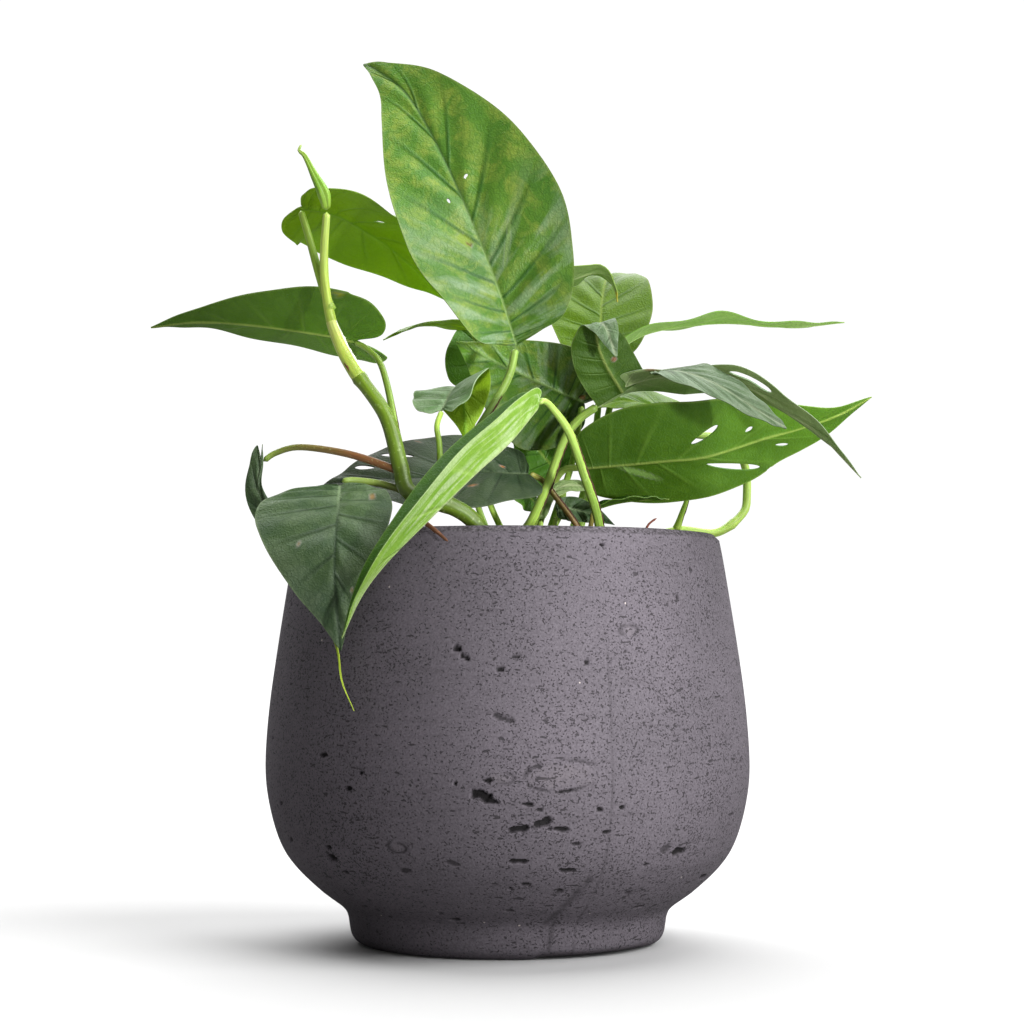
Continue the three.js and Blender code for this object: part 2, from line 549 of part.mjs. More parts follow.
// Each vine is one body: its stem and the stalks that grow from it. It is cut clear of the leaves it lists
const VINES = [
  {
    name: "vine_left", colour: COLOURS.stem,
    leaves: ["leaf_upper_left", "leaf_left", "leaf_hanging"],
    tubes: [
      {
        points: [[6, -32, 114], [0, -36, 128], [-6, -40, 138], [-13, -44, 147], [-23, -48, 152],
          [-33, -50, 155], [-36, -48, 164], [-41, -44, 181], [-52, -40, 197], [-59, -38, 211],
          [-62, -38, 225], [-62.5, -39, 237], [-61.5, -41, 251]],
        radii: [2.6, 2.9, 2.9, 2.7, 2.3, 1.9, 1.4], steps: 22, sides: 8,
      },
      {
        points: [[-60, -38, 217], [-64, -36, 229], [-68, -34, 243], [-71.2, -31.6, 253.2]],
        radii: [1.6, 1.2], steps: 6,
      },
      {
        points: [[-36, -46, 166], [-39, -34, 182], [-42, -24, 195], [-45, -18, 203], [-50, -15, 208],
          [-54, -13.6, 210]],
        radii: [1.5, 1.2, 1],
      },
      {
        points: [[-27, -48, 152], [-23, -46, 161], [-23, -42, 171], [-24, -38, 178], [-22.5, -33, 183.8]],
        radii: [1.1, 0.9], steps: 7,
      },
      {
        points: [[-33, -49, 155], [-43, -46, 158], [-52, -47, 159], [-55.5, -48.6, 158.4]],
        radii: [1.3, 1.1], steps: 5,
      },
      {
        points: [[-83.4, -33.6, 166.4], [-79, -33.4, 169.4], [-70, -37, 171], [-53, -43, 168],
          [-36, -48, 162]],
        radii: [1, 1.2, 1.4],
      },
      {
        points: [[-26, -48, 152], [-18, -46, 163], [-9, -42, 178], [0, -38, 194], [2.8, -36.3, 204.9]],
        radii: [1.7, 1.5, 1.3],
      },
    ],
  },
  {
    name: "vine_middle", colour: COLOURS.stem,
    leaves: ["leaf_folded", "leaf_centre"],
    tubes: [
      {
        points: [[-22, 16, 118], [-18, 13, 133], [-8, 10, 142], [8, 8, 144], [24, 6, 143], [34, 2, 134],
          [38, -2, 118]],
        radii: [2, 2.4, 2.4, 2], steps: 12,
      },
      {
        points: [[-10, 10, 141], [-6, 18, 141.5], [6, 24, 141], [24, 26, 140], [32, 26, 132]],
        radii: [1.8, 1.8], steps: 8,
      },
      {
        points: [[0, 9, 144], [4, 4, 144], [8, -1, 147], [14, -5, 160], [20, -9, 176], [25, -11, 183],
          [31.6, -12.8, 187.6]],
        radii: [1.8, 1.8, 1.7, 1.4], steps: 10,
      },
      {
        points: [[24, 6, 143], [31, -5, 140], [32, -16, 141], [31, -22, 149], [26, -30, 163],
          [21, -37, 176], [15, -42, 184], [12, -45, 186], [10.3, -46, 184.5]],
        radii: [1.7, 1.7, 1.7, 1.6, 1], steps: 14,
      },
      {
        points: [[28, 6, 142], [27, 1, 142.5], [24, -1.3, 147], [18, -1.3, 155],
          [13.5, -0.5, 161], [11, -3, 163], [8, -7.4, 164]],
        radii: [1.1, 1],
      },
      {
        points: [[10, 14, 141.5], [12.5, 13, 152], [16, 10, 161], [20, 6.5, 166.5], [26.4, 0.3, 167]],
        radii: [1.4, 1.2],
      },
      {
        points: [[14, 11, 142], [18, 13, 154], [23, 8, 169], [25, -3, 181], [26.4, -3.6, 188.6]],
        radii: [1.3, 1.1],
      },
      {
        points: [[14, 14, 142], [19, 15, 151], [20.2, 13, 159], [19.8, 12.3, 163.8]],
        radii: [1, 0.9], steps: 5,
      },
      { points: [[6, 11, 143], [10.5, 11, 149], [11.2, 9, 153.7]], radii: [1, 0.8], steps: 4 },
      { points: [[10, 8, 144], [11.5, 5, 145], [12, 4.1, 148.4]], radii: [0.9, 0.8], steps: 4 },
      { points: [[17, 8, 143.5], [16.7, 4.5, 146], [16.6, 3.4, 149.6]], radii: [0.9, 0.8], steps: 4 },
      { points: [[26, 6, 142], [29, -1, 145], [30.2, -4.7, 151.2]], radii: [1, 0.8], steps: 4 },
      {
        points: [[-6, 18, 141.5], [-12, 30, 160], [-13, 43, 188], [-7.3, 42, 203.4]],
        radii: [1.2, 0.9], steps: 6,
      },
      {
        points: [[0, 21, 141], [-8, 21, 160], [-14, 24, 190], [-9, 27, 212], [-3.9, 25.3, 217.5]],
        radii: [1.2, 0.9], steps: 7,
      },
      {
        points: [[10, 25, 141], [16, 26, 170], [10, 20, 196], [3, 10, 216], [-1, 2.9, 224.8]],
        radii: [1.2, 0.9],
      },
      {
        points: [[22, 26, 140.5], [29, 28, 165], [33, 25, 190], [33, 23.8, 210.5]],
        radii: [1.4, 1.1], steps: 7,
      },
      {
        points: [[25, 26, 140], [31, 33, 165], [38, 25, 194], [38.6, 15, 205], [37.2, 8.8, 208.3]],
        radii: [1.4, 1.1], steps: 7,
      },
    ],
  },
  {
    name: "vine_right", colour: COLOURS.stem,
    leaves: ["leaf_behind_right"],
    tubes: [
      {
        points: [[46, 16, 118], [53, 20, 138], [61, 22, 145.5], [76, 26, 145], [86, 30, 152], [88, 32, 159],
          [87, 32, 171], [79, 23, 179], [69, 17, 180], [65.8, 15.4, 180.5]],
        radii: [1.8, 1.6, 1.5, 1.3], steps: 16, sides: 8,
      },
      {
        points: [[61, 22, 145], [63, 20, 151], [65, 18, 157], [66, 16, 164]],
        radii: [1.3, 1, 0.4], steps: 5,
      },
    ],
  },
];

// Dry roots: one creeps over the rim, and a thin one stands up from the soil at the right
const ROOTS = [
  {
    name: "aerial_root",
    tubes: [
      {
        points: [[-30, -53.5, 151], [-31, -60, 148], [-30, -66, 145.5], [-27, -70.5, 143.6],
          [-23.5, -74, 141], [-19, -77, 137]],
        radii: [0.9, 0.9, 0.8, 0.4], steps: 10, sides: 6,
      },
    ],
  },
  {
    name: "rootlet_right",
    tubes: [
      {
        points: [[47, 2, 124], [48, 1, 138], [49.5, 0, 146], [53, 0, 149]],
        radii: [0.7, 0.6, 0.35], steps: 6, sides: 6,
      },
    ],
  },
];

const plant = new THREE.Group();

function add(name, geometry, material) {
  const mesh = new THREE.Mesh(geometry, material);
  mesh.name = name;
  plant.add(mesh);
}

for (const leaf of LEAVES) {
  prepare(leaf);
  (leaf.flaps ?? []).forEach(prepare);
}

// A stalk stops just short of its own blade, and only its main piece is kept
function vineSolid(vine) {
  let solid = wasm.Manifold.union(vine.tubes.map((item) => tube(item)));
  for (const name of vine.leaves) {
    const leaf = LEAVES.find((item) => item.name === name);
    solid = solid.subtract(bladeSolid(leaf, BLADE_THICKNESS + 2 * TOUCH_GAP));
  }
  const pieces = solid.decompose();
  return pieces.reduce((best, piece) => (piece.volume() > best.volume() ? piece : best));
}

let soil = soilBody();
for (const body of [...VINES, ...ROOTS]) {
  for (const item of body.tubes) soil = soil.subtract(tube(item, TOUCH_GAP));
}

add("pot", potShell(), finish(COLOURS.concrete, 0.85));
add("soil", toGeometry(soil), finish(COLOURS.soil, 0.95));
for (const vine of VINES) add(vine.name, toGeometry(vineSolid(vine)), finish(vine.colour, 0.5));
for (const root of ROOTS) {
  const solid = wasm.Manifold.union(root.tubes.map((item) => tube(item)));
  add(root.name, toGeometry(solid), finish(COLOURS.root, 0.8));
}
add("leaf_rolled", toGeometry(tube(ROLLED_LEAF)), finish(COLOURS.bright, 0.45));
for (const leaf of LEAVES) add(leaf.name, toGeometry(bladeWithHoles(leaf)), finish(leaf.colour, 0.45));

export default plant;
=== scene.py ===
"""Looks of a young blue-green climbing aroid in a concrete pot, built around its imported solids.

Lengths are in millimetres until a mesh is finished, and then in metres. +Z is up and -Y is the front.
"""

import logging
import math
import random
from dataclasses import dataclass, field
from enum import Enum
from typing import Callable, Sequence

import bmesh
import bpy
import numpy as np
from mathutils import Matrix, Vector, noise

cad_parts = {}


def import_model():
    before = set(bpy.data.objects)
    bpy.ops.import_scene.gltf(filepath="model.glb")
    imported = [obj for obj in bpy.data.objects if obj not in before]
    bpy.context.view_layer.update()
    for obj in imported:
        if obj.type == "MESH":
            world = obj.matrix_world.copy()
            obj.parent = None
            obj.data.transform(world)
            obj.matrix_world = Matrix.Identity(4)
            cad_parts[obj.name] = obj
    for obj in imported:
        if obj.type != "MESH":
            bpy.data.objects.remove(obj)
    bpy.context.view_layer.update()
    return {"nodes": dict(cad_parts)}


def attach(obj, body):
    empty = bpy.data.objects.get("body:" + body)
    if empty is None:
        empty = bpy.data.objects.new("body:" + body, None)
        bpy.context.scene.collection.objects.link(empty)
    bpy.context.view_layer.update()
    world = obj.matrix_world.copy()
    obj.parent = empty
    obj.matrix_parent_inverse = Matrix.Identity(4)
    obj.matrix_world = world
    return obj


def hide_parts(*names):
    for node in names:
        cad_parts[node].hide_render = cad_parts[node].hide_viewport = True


LOG = logging.getLogger("potted_plant")
MM = 0.001
BODY = "root"

Point = tuple[float, float, float]
Pair = tuple[float, float]
Tree = bpy.types.NodeTree
Node = bpy.types.Node
Value = Node | tuple[Node, str] | float

# The pot's driving dimensions, the same as the solids have
POT_RADIUS = 85.0
POT_HEIGHT = 142.5
RIM_RADIUS = 74.8
POT_WALL = 8.0
FLOOR_RADIUS = 44.0
POT_FLOOR = 14.0
RIM_CHAMFER = 2.0
SOIL_BELOW_RIM = 12.0

# A blade is thinner here than its solid, which leaves room for relief. The fold at its midrib is rounded
BLADE_THICKNESS = 0.6
MIDRIB_ROUND = 0.9


# Colour and nodes


def linear(code: str) -> tuple[float, float, float, float]:
    """Turns an sRGB hex colour into the linear colour that shaders use.

    Args:
        code: Six hex digits, such as "7fa83c".

    Returns:
        Linear red, green and blue, and an alpha of 1.
    """
    values = [int(code[k:k + 2], 16) / 255 for k in (0, 2, 4)]
    red, green, blue = [v / 12.92 if v <= 0.04045 else ((v + 0.055) / 1.055) ** 2.4 for v in values]
    return red, green, blue, 1.0


def add(tree: Tree, kind: str, inputs: dict | None = None, **settings: object) -> Node:
    """Adds one node with its settings and links.

    Args:
        tree: The node tree that gets the node.
        kind: Blender's name for the node, without the words that all shader nodes start with.
        inputs: Socket name or number to a plain value, an sRGB hex colour, a node (its main output) or
            (node, output name).
        settings: Properties of the node itself.

    Returns:
        The new node.
    """
    node = tree.nodes.new("ShaderNode" + kind)
    for name, value in settings.items():
        setattr(node, name, value)
    for socket, value in (inputs or {}).items():
        if isinstance(value, Node):
            colours = value.bl_idname == "ShaderNodeMix" and value.data_type == "RGBA"
            tree.links.new(value.outputs[2 if colours else 0], node.inputs[socket])
        elif isinstance(value, tuple) and isinstance(value[0], Node):
            tree.links.new(value[0].outputs[value[1]], node.inputs[socket])
        else:
            node.inputs[socket].default_value = linear(value) if isinstance(value, str) else value
    return node


def new_material(name: str) -> tuple[bpy.types.Material, Tree]:
    """Makes an empty material.

    Args:
        name: The real material's name.

    Returns:
        The material and its node tree.
    """
    material = bpy.data.materials.new(name)
    material.use_nodes = True
    material.node_tree.nodes.clear()
    return material, material.node_tree


# Smooth paths


def smooth_through(points: np.ndarray, t: np.ndarray, reflect: bool) -> np.ndarray:
    """Places on the smooth curve through some points.

    Args:
        points: The points, one in each row.
        t: Places from 0 at the first point to 1 at the last.
        reflect: Whether the curve runs on straight at its ends, or eases into them.

    Returns:
        One point in each row, for each t.
    """
    before = 2 * points[0] - points[1] if reflect else points[0]
    after = 2 * points[-1] - points[-2] if reflect else points[-1]
    padded = np.vstack([before, points, after])
    place = np.clip(t, 0, 1) * (len(points) - 1)
    low = np.minimum(place.astype(int), len(points) - 2)
    w = (place - low)[:, None]
    p0, p1, p2, p3 = (padded[low + k] for k in range(4))
    return 0.5 * (2 * p1 + (p2 - p0) * w + (2 * p0 - 5 * p1 + 4 * p2 - p3) * w ** 2
                  + (3 * p1 - p0 - 3 * p2 + p3) * w ** 3)


def along(values: Sequence, share: np.ndarray) -> np.ndarray:
    """Values that change evenly from one to the next.

    Args:
        values: Numbers or points.
        share: Places from 0 to 1.

    Returns:
        The value at each place.
    """
    table = np.array(values, float)
    steps = np.linspace(0, 1, len(table))
    inside = np.clip(share, 0, 1)
    if table.ndim == 1:
        return np.interp(inside, steps, table)
    return np.stack([np.interp(inside, steps, column) for column in table.T], axis=1)


def unit(rows: np.ndarray) -> np.ndarray:
    """The rows, each made one long."""
    return rows / np.maximum(np.linalg.norm(rows, axis=1, keepdims=True), 1e-12)


def ease(low: float, high: float, x: np.ndarray) -> np.ndarray:
    """A smooth step from 0 at low to 1 at high, or down where high is below low."""
    share = np.clip((np.asarray(x, float) - low) / (high - low), 0, 1)
    return share * share * (3 - 2 * share)


class SmoothPath:
    """A smooth path through points, walked by the share of its length."""

    DIVISIONS = 200
    STEP = 1e-4

    def __init__(self, points: Sequence[Point]) -> None:
        """Measures the path.

        Args:
            points: The points that it goes through, in millimetres.
        """
        self.points = np.array(points, float)
        self.places = np.linspace(0, 1, self.DIVISIONS + 1)
        walked = np.linalg.norm(np.diff(smooth_through(self.points, self.places, True), axis=0), axis=1)
        self.walked = np.concatenate([[0], np.cumsum(walked)])
        self.length = float(self.walked[-1])

    def place(self, share: np.ndarray) -> np.ndarray:
        """The curve's own place at a share of its length."""
        return np.interp(np.asarray(share, float) * self.length, self.walked, self.places)

    def at(self, share: np.ndarray) -> np.ndarray:
        """The points at these shares of the length."""
        return smooth_through(self.points, self.place(share), True)

    def tangent(self, share: np.ndarray) -> np.ndarray:
        """The directions at these shares of the length.

        Args:
            share: Shares of the path's length.

        Returns:
            A unit vector in each row.
        """
        t = self.place(share)
        ahead = smooth_through(self.points, np.minimum(t + self.STEP, 1), True)
        return unit(ahead - smooth_through(self.points, np.maximum(t - self.STEP, 0), True))


# Meshes


def finish_mesh(bm: bmesh.types.BMesh, name: str, sharp_degrees: float | None = 50) -> bpy.types.Mesh:
    """Turns a bmesh in millimetres into a smooth mesh in metres.

    Args:
        bm: The bmesh, which is freed.
        name: The mesh's name.
        sharp_degrees: Edges that bend more than this stay sharp, or none do.

    Returns:
        The mesh.
    """
    for face in bm.faces:
        face.smooth = True
    if sharp_degrees is not None:
        limit = math.radians(sharp_degrees)
        for edge in bm.edges:
            edge.smooth = edge.calc_face_angle(0) < limit
    bmesh.ops.scale(bm, vec=(MM, MM, MM), verts=bm.verts[:])
    mesh = bpy.data.meshes.new(name)
    bm.to_mesh(mesh)
    bm.free()
    return mesh


def put_in_scene(mesh: bpy.types.Mesh, materials: Sequence[bpy.types.Material], node: str) -> bpy.types.Object:
    """Puts a finished piece in the scene, in place of the solid that it stands for.

    Args:
        mesh: The finished mesh, in the row's frame.
        materials: Its materials, in the order of the faces' material numbers.
        node: The solid's name.

    Returns:
        The new object.
    """
    piece = bpy.data.objects.new(mesh.name, mesh)
    for material in materials:
        mesh.materials.append(material)
    bpy.context.scene.collection.objects.link(piece)
    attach(piece, BODY)
    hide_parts(node)
    LOG.info("%s: %d faces, stands for %s", piece.name, len(mesh.polygons), node)
    return piece


def write_attribute(mesh: bpy.types.Mesh, name: str, kind: str, values: np.ndarray) -> None:
    """Writes one value for each vertex.

    Args:
        mesh: The mesh.
        name: The attribute's name.
        kind: FLOAT, FLOAT_VECTOR or FLOAT_COLOR.
        values: One row for each vertex.
    """
    attribute = mesh.attributes.new(name, kind, "POINT")
    key = {"FLOAT": "value", "FLOAT_VECTOR": "vector", "FLOAT_COLOR": "color"}[kind]
    attribute.data.foreach_set(key, np.asarray(values, np.float32).ravel())


# Leaf finishes


class BladeNodes:
    """The nodes that say where on a blade a point lies, its painted light and shade, and its marks."""

    def __init__(self, tree: Tree) -> None:
        """Adds the nodes.

        Args:
            tree: The finish's node tree.
        """
        self.place = (add(tree, "Attribute", attribute_name="flat"), "Vector")
        self.rib = (add(tree, "Attribute", attribute_name="rib"), "Fac")
        self.across = (add(tree, "Attribute", attribute_name="across"), "Fac")
        # Painted light and shade: a brightness set along the blade that scales its colour
        self.age = (add(tree, "Attribute", attribute_name="tone"), "Fac")
        self.mark = add(tree, "Attribute", attribute_name="mark")
        self.parts = add(tree, "SeparateXYZ", {0: self.place})
        self.out = add(tree, "Math", {0: self.across}, operation="ABSOLUTE")


@dataclass(frozen=True)
class LeafFinish:
    """The look of one face of a leaf blade.

    Living leaf tissue is a thin translucent sheet under a waxy skin: light from behind shows through it as
    yellow-green, and light from the front leaves a broad dull gleam. The sheen colour is a painted sheen,
    laid on as pale colour. Colours are sRGB hex codes, a share says how strongly a colour is laid on, and a
    reach is how far along the midrib it goes, in millimetres.
    """

    name: str
    blade: str
    blade_other: str
    vein: str
    midrib: str
    margin: str
    mottle: str
    mottle_share: float = 0.0
    sheen: str = "a9bda0"
    sheen_share: float = 0.0
    net: str = "4e7a3c"
    net_share: float = 0.25
    vein_share: float = 0.5
    raised: float = -1.0
    roughness: float = 0.42
    glow: float = 0.28
    midrib_low: str = ""
    low_reach: float = 62.0
    sheen_reach: float = 400.0
    streak_size: Pair = (1.6, 1.6)

    SAP = "b8d02c"

    def tissue(self, tree: Tree, at: BladeNodes) -> Node:
        """Changes of tone over about 20 mm, and the mottling of young leaves over 7 mm.

        Args:
            tree: The finish's node tree.
            at: The nodes of the places on the blade.

        Returns:
            The colour.
        """
        broad = add(tree, "TexNoise", {"Vector": at.place, "Scale": 0.05, "Detail": 3.0})
        cloudy = add(tree, "MapRange", {0: broad, 1: 0.35, 2: 0.65})
        tone = add(tree, "Mix", {0: cloudy, 6: self.blade, 7: self.blade_other}, data_type="RGBA")
        patchy = add(tree, "TexNoise", {"Vector": at.place, "Scale": 0.14, "Detail": 6.0,
                                        "Roughness": 0.65, "Distortion": 0.6})
        mottled = add(tree, "MapRange", {0: patchy, 1: 0.46, 2: 0.66, 4: self.mottle_share})
        return add(tree, "Mix", {0: mottled, 6: tone, 7: self.mottle}, data_type="RGBA")

    def streaks(self, tree: Tree, at: BladeNodes) -> Node:
        """Painted sheen: silvery streaks that run beside the side veins and fade out towards the tip.

        Args:
            tree: The finish's node tree.
            at: The nodes of the places on the blade.

        Returns:
            How much of them shows.
        """
        place = add(tree, "CombineXYZ", {0: at.rib, 1: at.across, 2: 0.0})
        drawn = add(tree, "VectorMath", {0: place, 1: (*self.streak_size, 1.0)}, operation="MULTIPLY")
        streak = add(tree, "TexNoise", {"Vector": drawn, "Scale": 1.0, "Detail": 4.0, "Distortion": 0.5})
        streaked = add(tree, "MapRange", {0: streak, 1: 0.48, 2: 0.62, 4: self.sheen_share})
        near = add(tree, "MapRange", {0: (at.parts, "X"), 1: 0.5 * self.sheen_reach, 2: self.sheen_reach,
                                      3: 1.0, 4: 0.0})
        return add(tree, "Math", {0: streaked, 1: near}, operation="MULTIPLY")

    @staticmethod
    def net_lines(tree: Tree, at: BladeNodes) -> Node:
        """The net of small veins, in bent cells of about 2 mm.

        Args:
            tree: The finish's node tree.
            at: The nodes of the places on the blade.

        Returns:
            1 on the lines, and 0 inside the cells.
        """
        wander = add(tree, "TexNoise", {"Vector": at.place, "Scale": 0.3, "Detail": 2.0})
        bent = add(tree, "VectorMath", {0: (wander, "Color"), 1: (3.0, 3.0, 3.0), 2: at.place},
                   operation="MULTIPLY_ADD")
        cells = add(tree, "TexVoronoi", {"Vector": bent, "Scale": 0.5, "Randomness": 1.0},
                    feature="DISTANCE_TO_EDGE")
        return add(tree, "MapRange", {0: cells, 2: 0.14, 3: 1.0, 4: 0.0})

    @staticmethod
    def side_veins(tree: Tree, at: BladeNodes) -> Node:
        """The side veins, which lie where the rib number is whole and fade towards the margin.

        Args:
            tree: The finish's node tree.
            at: The nodes of the places on the blade.

        Returns:
            How much of them shows.
        """
        apart = add(tree, "Math", {0: at.rib, 1: 0.5}, operation="PINGPONG")
        line = add(tree, "MapRange", {0: apart, 1: 0.015, 2: 0.085, 3: 1.0, 4: 0.0})
        faded = add(tree, "MapRange", {0: at.out, 1: 0.35, 2: 0.95, 3: 1.0, 4: 0.15})
        return add(tree, "Math", {0: line, 1: faded}, operation="MULTIPLY")

    def ribbed(self, tree: Tree, at: BladeNodes, tone: Node) -> Node:
        """Lays on the midrib, about a millimetre wide, and the pale line of the margin.

        Args:
            tree: The finish's node tree.
            at: The nodes of the places on the blade.
            tone: The colour below them.

        Returns:
            The colour with them.
        """
        off = add(tree, "Math", {0: (at.parts, "Y")}, operation="ABSOLUTE")
        up = add(tree, "MapRange", {0: (at.parts, "X"), 1: 0.3 * self.low_reach, 2: self.low_reach})
        low_tone = self.midrib_low or self.midrib
        midrib = add(tree, "Mix", {0: up, 6: low_tone, 7: self.midrib}, data_type="RGBA")
        line = add(tree, "MapRange", {0: off, 1: 0.2, 2: 0.7, 3: 0.9, 4: 0.0})
        tone = add(tree, "Mix", {0: line, 6: tone, 7: midrib}, data_type="RGBA")
        edge = add(tree, "MapRange", {0: at.out, 1: 0.965, 2: 0.99, 4: 0.45})
        return add(tree, "Mix", {0: edge, 6: tone, 7: self.margin}, data_type="RGBA")

    def build(self) -> bpy.types.Material:
        """Makes the material from the blade's own flat coordinates.

        Returns:
            The material.
        """
        material, tree = new_material(self.name)
        at = BladeNodes(tree)
        tissue = self.tissue(tree, at)
        # Painted sheen: pale silvery streaks laid on as colour
        tone = add(tree, "Mix", {0: self.streaks(tree, at), 6: tissue, 7: self.sheen}, data_type="RGBA")
        net = self.net_lines(tree, at)
        net_seen = add(tree, "Math", {0: net, 1: self.net_share}, operation="MULTIPLY")
        tone = add(tree, "Mix", {0: net_seen, 6: tone, 7: self.net}, data_type="RGBA")
        side = self.side_veins(tree, at)
        side_seen = add(tree, "Math", {0: side, 1: self.vein_share}, operation="MULTIPLY")
        tone = add(tree, "Mix", {0: side_seen, 6: tone, 7: self.vein}, data_type="RGBA")
        tone = self.ribbed(tree, at, tone)
        # Painted light and shade: the colour is brightened or darkened along the blade
        tone = add(tree, "VectorMath", {0: tone, "Scale": at.age}, operation="SCALE")
        tone = add(tree, "Mix", {0: (at.mark, "Alpha"), 6: tone, 7: (at.mark, "Color")}, data_type="RGBA")

        # Relief: veins sunk in the upper face and raised on the lower one, and a fine grain in the skin
        grain = add(tree, "TexNoise", {"Vector": at.place, "Scale": 1.4, "Detail": 3.0})
        low = add(tree, "Math", {0: net, 1: 0.25 * self.raised, 2: grain}, operation="MULTIPLY_ADD")
        height = add(tree, "Math", {0: side, 1: 1.2 * self.raised, 2: low}, operation="MULTIPLY_ADD")
        bump = add(tree, "Bump", {"Strength": 0.7, "Distance": 0.3 * MM, "Height": height})
        gloss = add(tree, "MapRange", {0: grain, 3: self.roughness - 0.06, 4: self.roughness + 0.08})
        skin = add(tree, "BsdfPrincipled", {"Base Color": tone, "Roughness": gloss, "Normal": bump,
                                            "IOR": 1.42, "Specular IOR Level": 0.45})

        # Light that has gone through the blade is half the blade's colour and half the sap's
        # The sap's colour gets the same painted light and shade
        sap = add(tree, "VectorMath", {0: linear(self.SAP)[:3], "Scale": at.age}, operation="SCALE")
        through = add(tree, "Mix", {0: 0.5, 6: tone, 7: sap}, data_type="RGBA")
        lit = add(tree, "BsdfTranslucent", {"Color": through, "Normal": bump})
        leaf = add(tree, "MixShader", {0: self.glow, 1: skin, 2: lit})
        add(tree, "OutputMaterial", {"Surface": leaf})
        return material


class LeafLook(Enum):
    """The finishes that leaf faces are given."""

    # The sheen colours are painted sheen, laid on in streaks
    MOTTLED = LeafFinish("leaf_upper_mottled_green", "709f38", "5a8e34", "2f6428", "4a7034", "9ab35e",
                         "a2b84e", mottle_share=0.8, sheen="b0caa6", sheen_share=0.5, net="3a7030",
                         net_share=0.26, vein_share=0.75, glow=0.25, midrib_low="9cc06a", sheen_reach=62,
                         streak_size=(2.4, 1.4))
    DEEP = LeafFinish("leaf_upper_deep_green", "3b6a1c", "4d7c22", "234a14", "7d9a40", "8fae56", "5a8a2e",
                      mottle_share=0.3)
    BRIGHT = LeafFinish("leaf_upper_bright_green", "7fa822", "6f9a22", "4c7a1c", "a4c24a", "b5cf62",
                        "93b83a", mottle_share=0.4, vein_share=0.65, glow=0.36)
    BLUE = LeafFinish("leaf_upper_blue_green", "40593a", "4b6339", "263c22", "2c4227", "7d9068", "5d7447",
                      mottle_share=0.45, sheen="7e9072", sheen_share=0.3, net="2c452a", net_share=0.3,
                      vein_share=0.65, roughness=0.5, glow=0.12, midrib_low="7b9068", low_reach=18)
    # Pale blue-green upper face: the leaf's own blue-grey, made paler with painted sheen
    PALE_BLUE = LeafFinish("leaf_upper_pale_blue_green", "7f9a74", "6f8e5e", "93a983", "a8ba92", "a8ba90",
                           "8ca278", mottle_share=0.3, sheen="a3b598", sheen_share=0.4, vein_share=0.35,
                           roughness=0.48, glow=0.16)
    UNDER_DEEP = LeafFinish("leaf_under_green", "537c1e", "49701c", "6f9636", "a3b85c", "98b258", "6c9434",
                            mottle_share=0.45, raised=1.0, roughness=0.55, glow=0.34)
    UNDER_BRIGHT = LeafFinish("leaf_under_bright_green", "8cac1e", "7ca01a", "5c8a14", "6f9a1e", "b0cc58",
                              "93b62c", mottle_share=0.35, net="5c8a14", net_share=0.2, raised=1.0,
                              roughness=0.52, glow=0.46)
    UNDER_PALE = LeafFinish("leaf_under_pale_green", "9cb276", "8ca868", "b4c48e", "bfcd98", "bfcd9a",
                            "a5b87c", mottle_share=0.3, raised=1.0, roughness=0.55, glow=0.28)
    STREAKED = LeafFinish("leaf_under_streaked_green", "84ac3c", "74a030", "98bc58", "c4d69a", "cfdcae",
                          "9cbe58", mottle_share=0.5, sheen="d5e2ba", sheen_share=0.45, net="6c9a34",
                          net_share=0.3, raised=1.0, roughness=0.5, glow=0.34, streak_size=(0.7, 7.0))


# Leaf blades. A blade is laid out flat, a along the midrib from 0 at the stalk to 1 at the tip and b across
# it from -1 to 1, and then bent: the midrib follows the spine, and each half folds up from it and curls

HEART = ((0, 0.03), (-0.07, 0.3), (-0.03, 0.62), (0.1, 0.9), (0.27, 1), (0.5, 0.84), (0.72, 0.5),
         (0.88, 0.2), (1, 0.012))
HEART_BELLY = 0.27
RIB_SWEEP = 2.5

# How far the outline's first points move with the lobe, as shares of the midrib, and a long tip's shape
NOTCH_SHIFT = 0.012
NOTCH_FROM = 0.25
LOBE_SHIFT = 0.07
WEDGE_SHIFT = 0.03
SHOULDER_SHIFT = 0.05
LONG_TIP_LENGTH = 0.8
LONG_TIP_WIDTH = 0.07


def heart(belly: float, lobe: float, drip: float) -> list[Pair]:
    """The outline of half a heart-shaped leaf.

    Args:
        belly: How far along the midrib the leaf is widest.
        lobe: How deep the lobes beside the stalk are, or a wedge where it is below 0.
        drip: The share of the length that is drawn out into a long tip.

    Returns:
        Points (a, b) from the stalk round to the tip.
    """
    wedge = min(lobe, 0)
    power = math.log(belly) / math.log(HEART_BELLY)
    shape = [[a if a < 0 else a ** power, b] for a, b in HEART]
    shape[0][0] = -NOTCH_SHIFT * max(lobe + NOTCH_FROM, 0)
    shape[1][0] = -LOBE_SHIFT * max(lobe, 0) - WEDGE_SHIFT * wedge
    shape[2][0] += SHOULDER_SHIFT * (1 - lobe)
    shape[3][0] -= SHOULDER_SHIFT * wedge
    if not drip:
        return [(a, b) for a, b in shape]
    body = [(a * (1 - drip), b) for a, b in shape[:-1]]
    return [*body, (1 - drip * LONG_TIP_LENGTH, LONG_TIP_WIDTH), HEART[-1]]


@dataclass(frozen=True)
class Half:
    """One half of a blade: its width in millimetres, and the fold and curl in degrees and the share of that
    width along it.
    """

    width: float
    fold: Sequence[float] = (0, 0)
    curl: Sequence[float] = (0, 0)
    share: Sequence[float] = (1, 1)


@dataclass(frozen=True)
class Hole:
    """A slit in a blade: its middle on the flat blade, its size in millimetres and its turn in degrees."""

    a: float
    b: float
    size: Pair
    turn: float = 0.0
    point: float = 0.25


@dataclass(frozen=True)
class Mark:
    """A spot or stroke of colour on a blade: its middle on the flat blade, size in millimetres and turn."""

    a: float
    b: float
    size: Pair
    colour: str
    turn: float = 0.0
    strength: float = 0.9


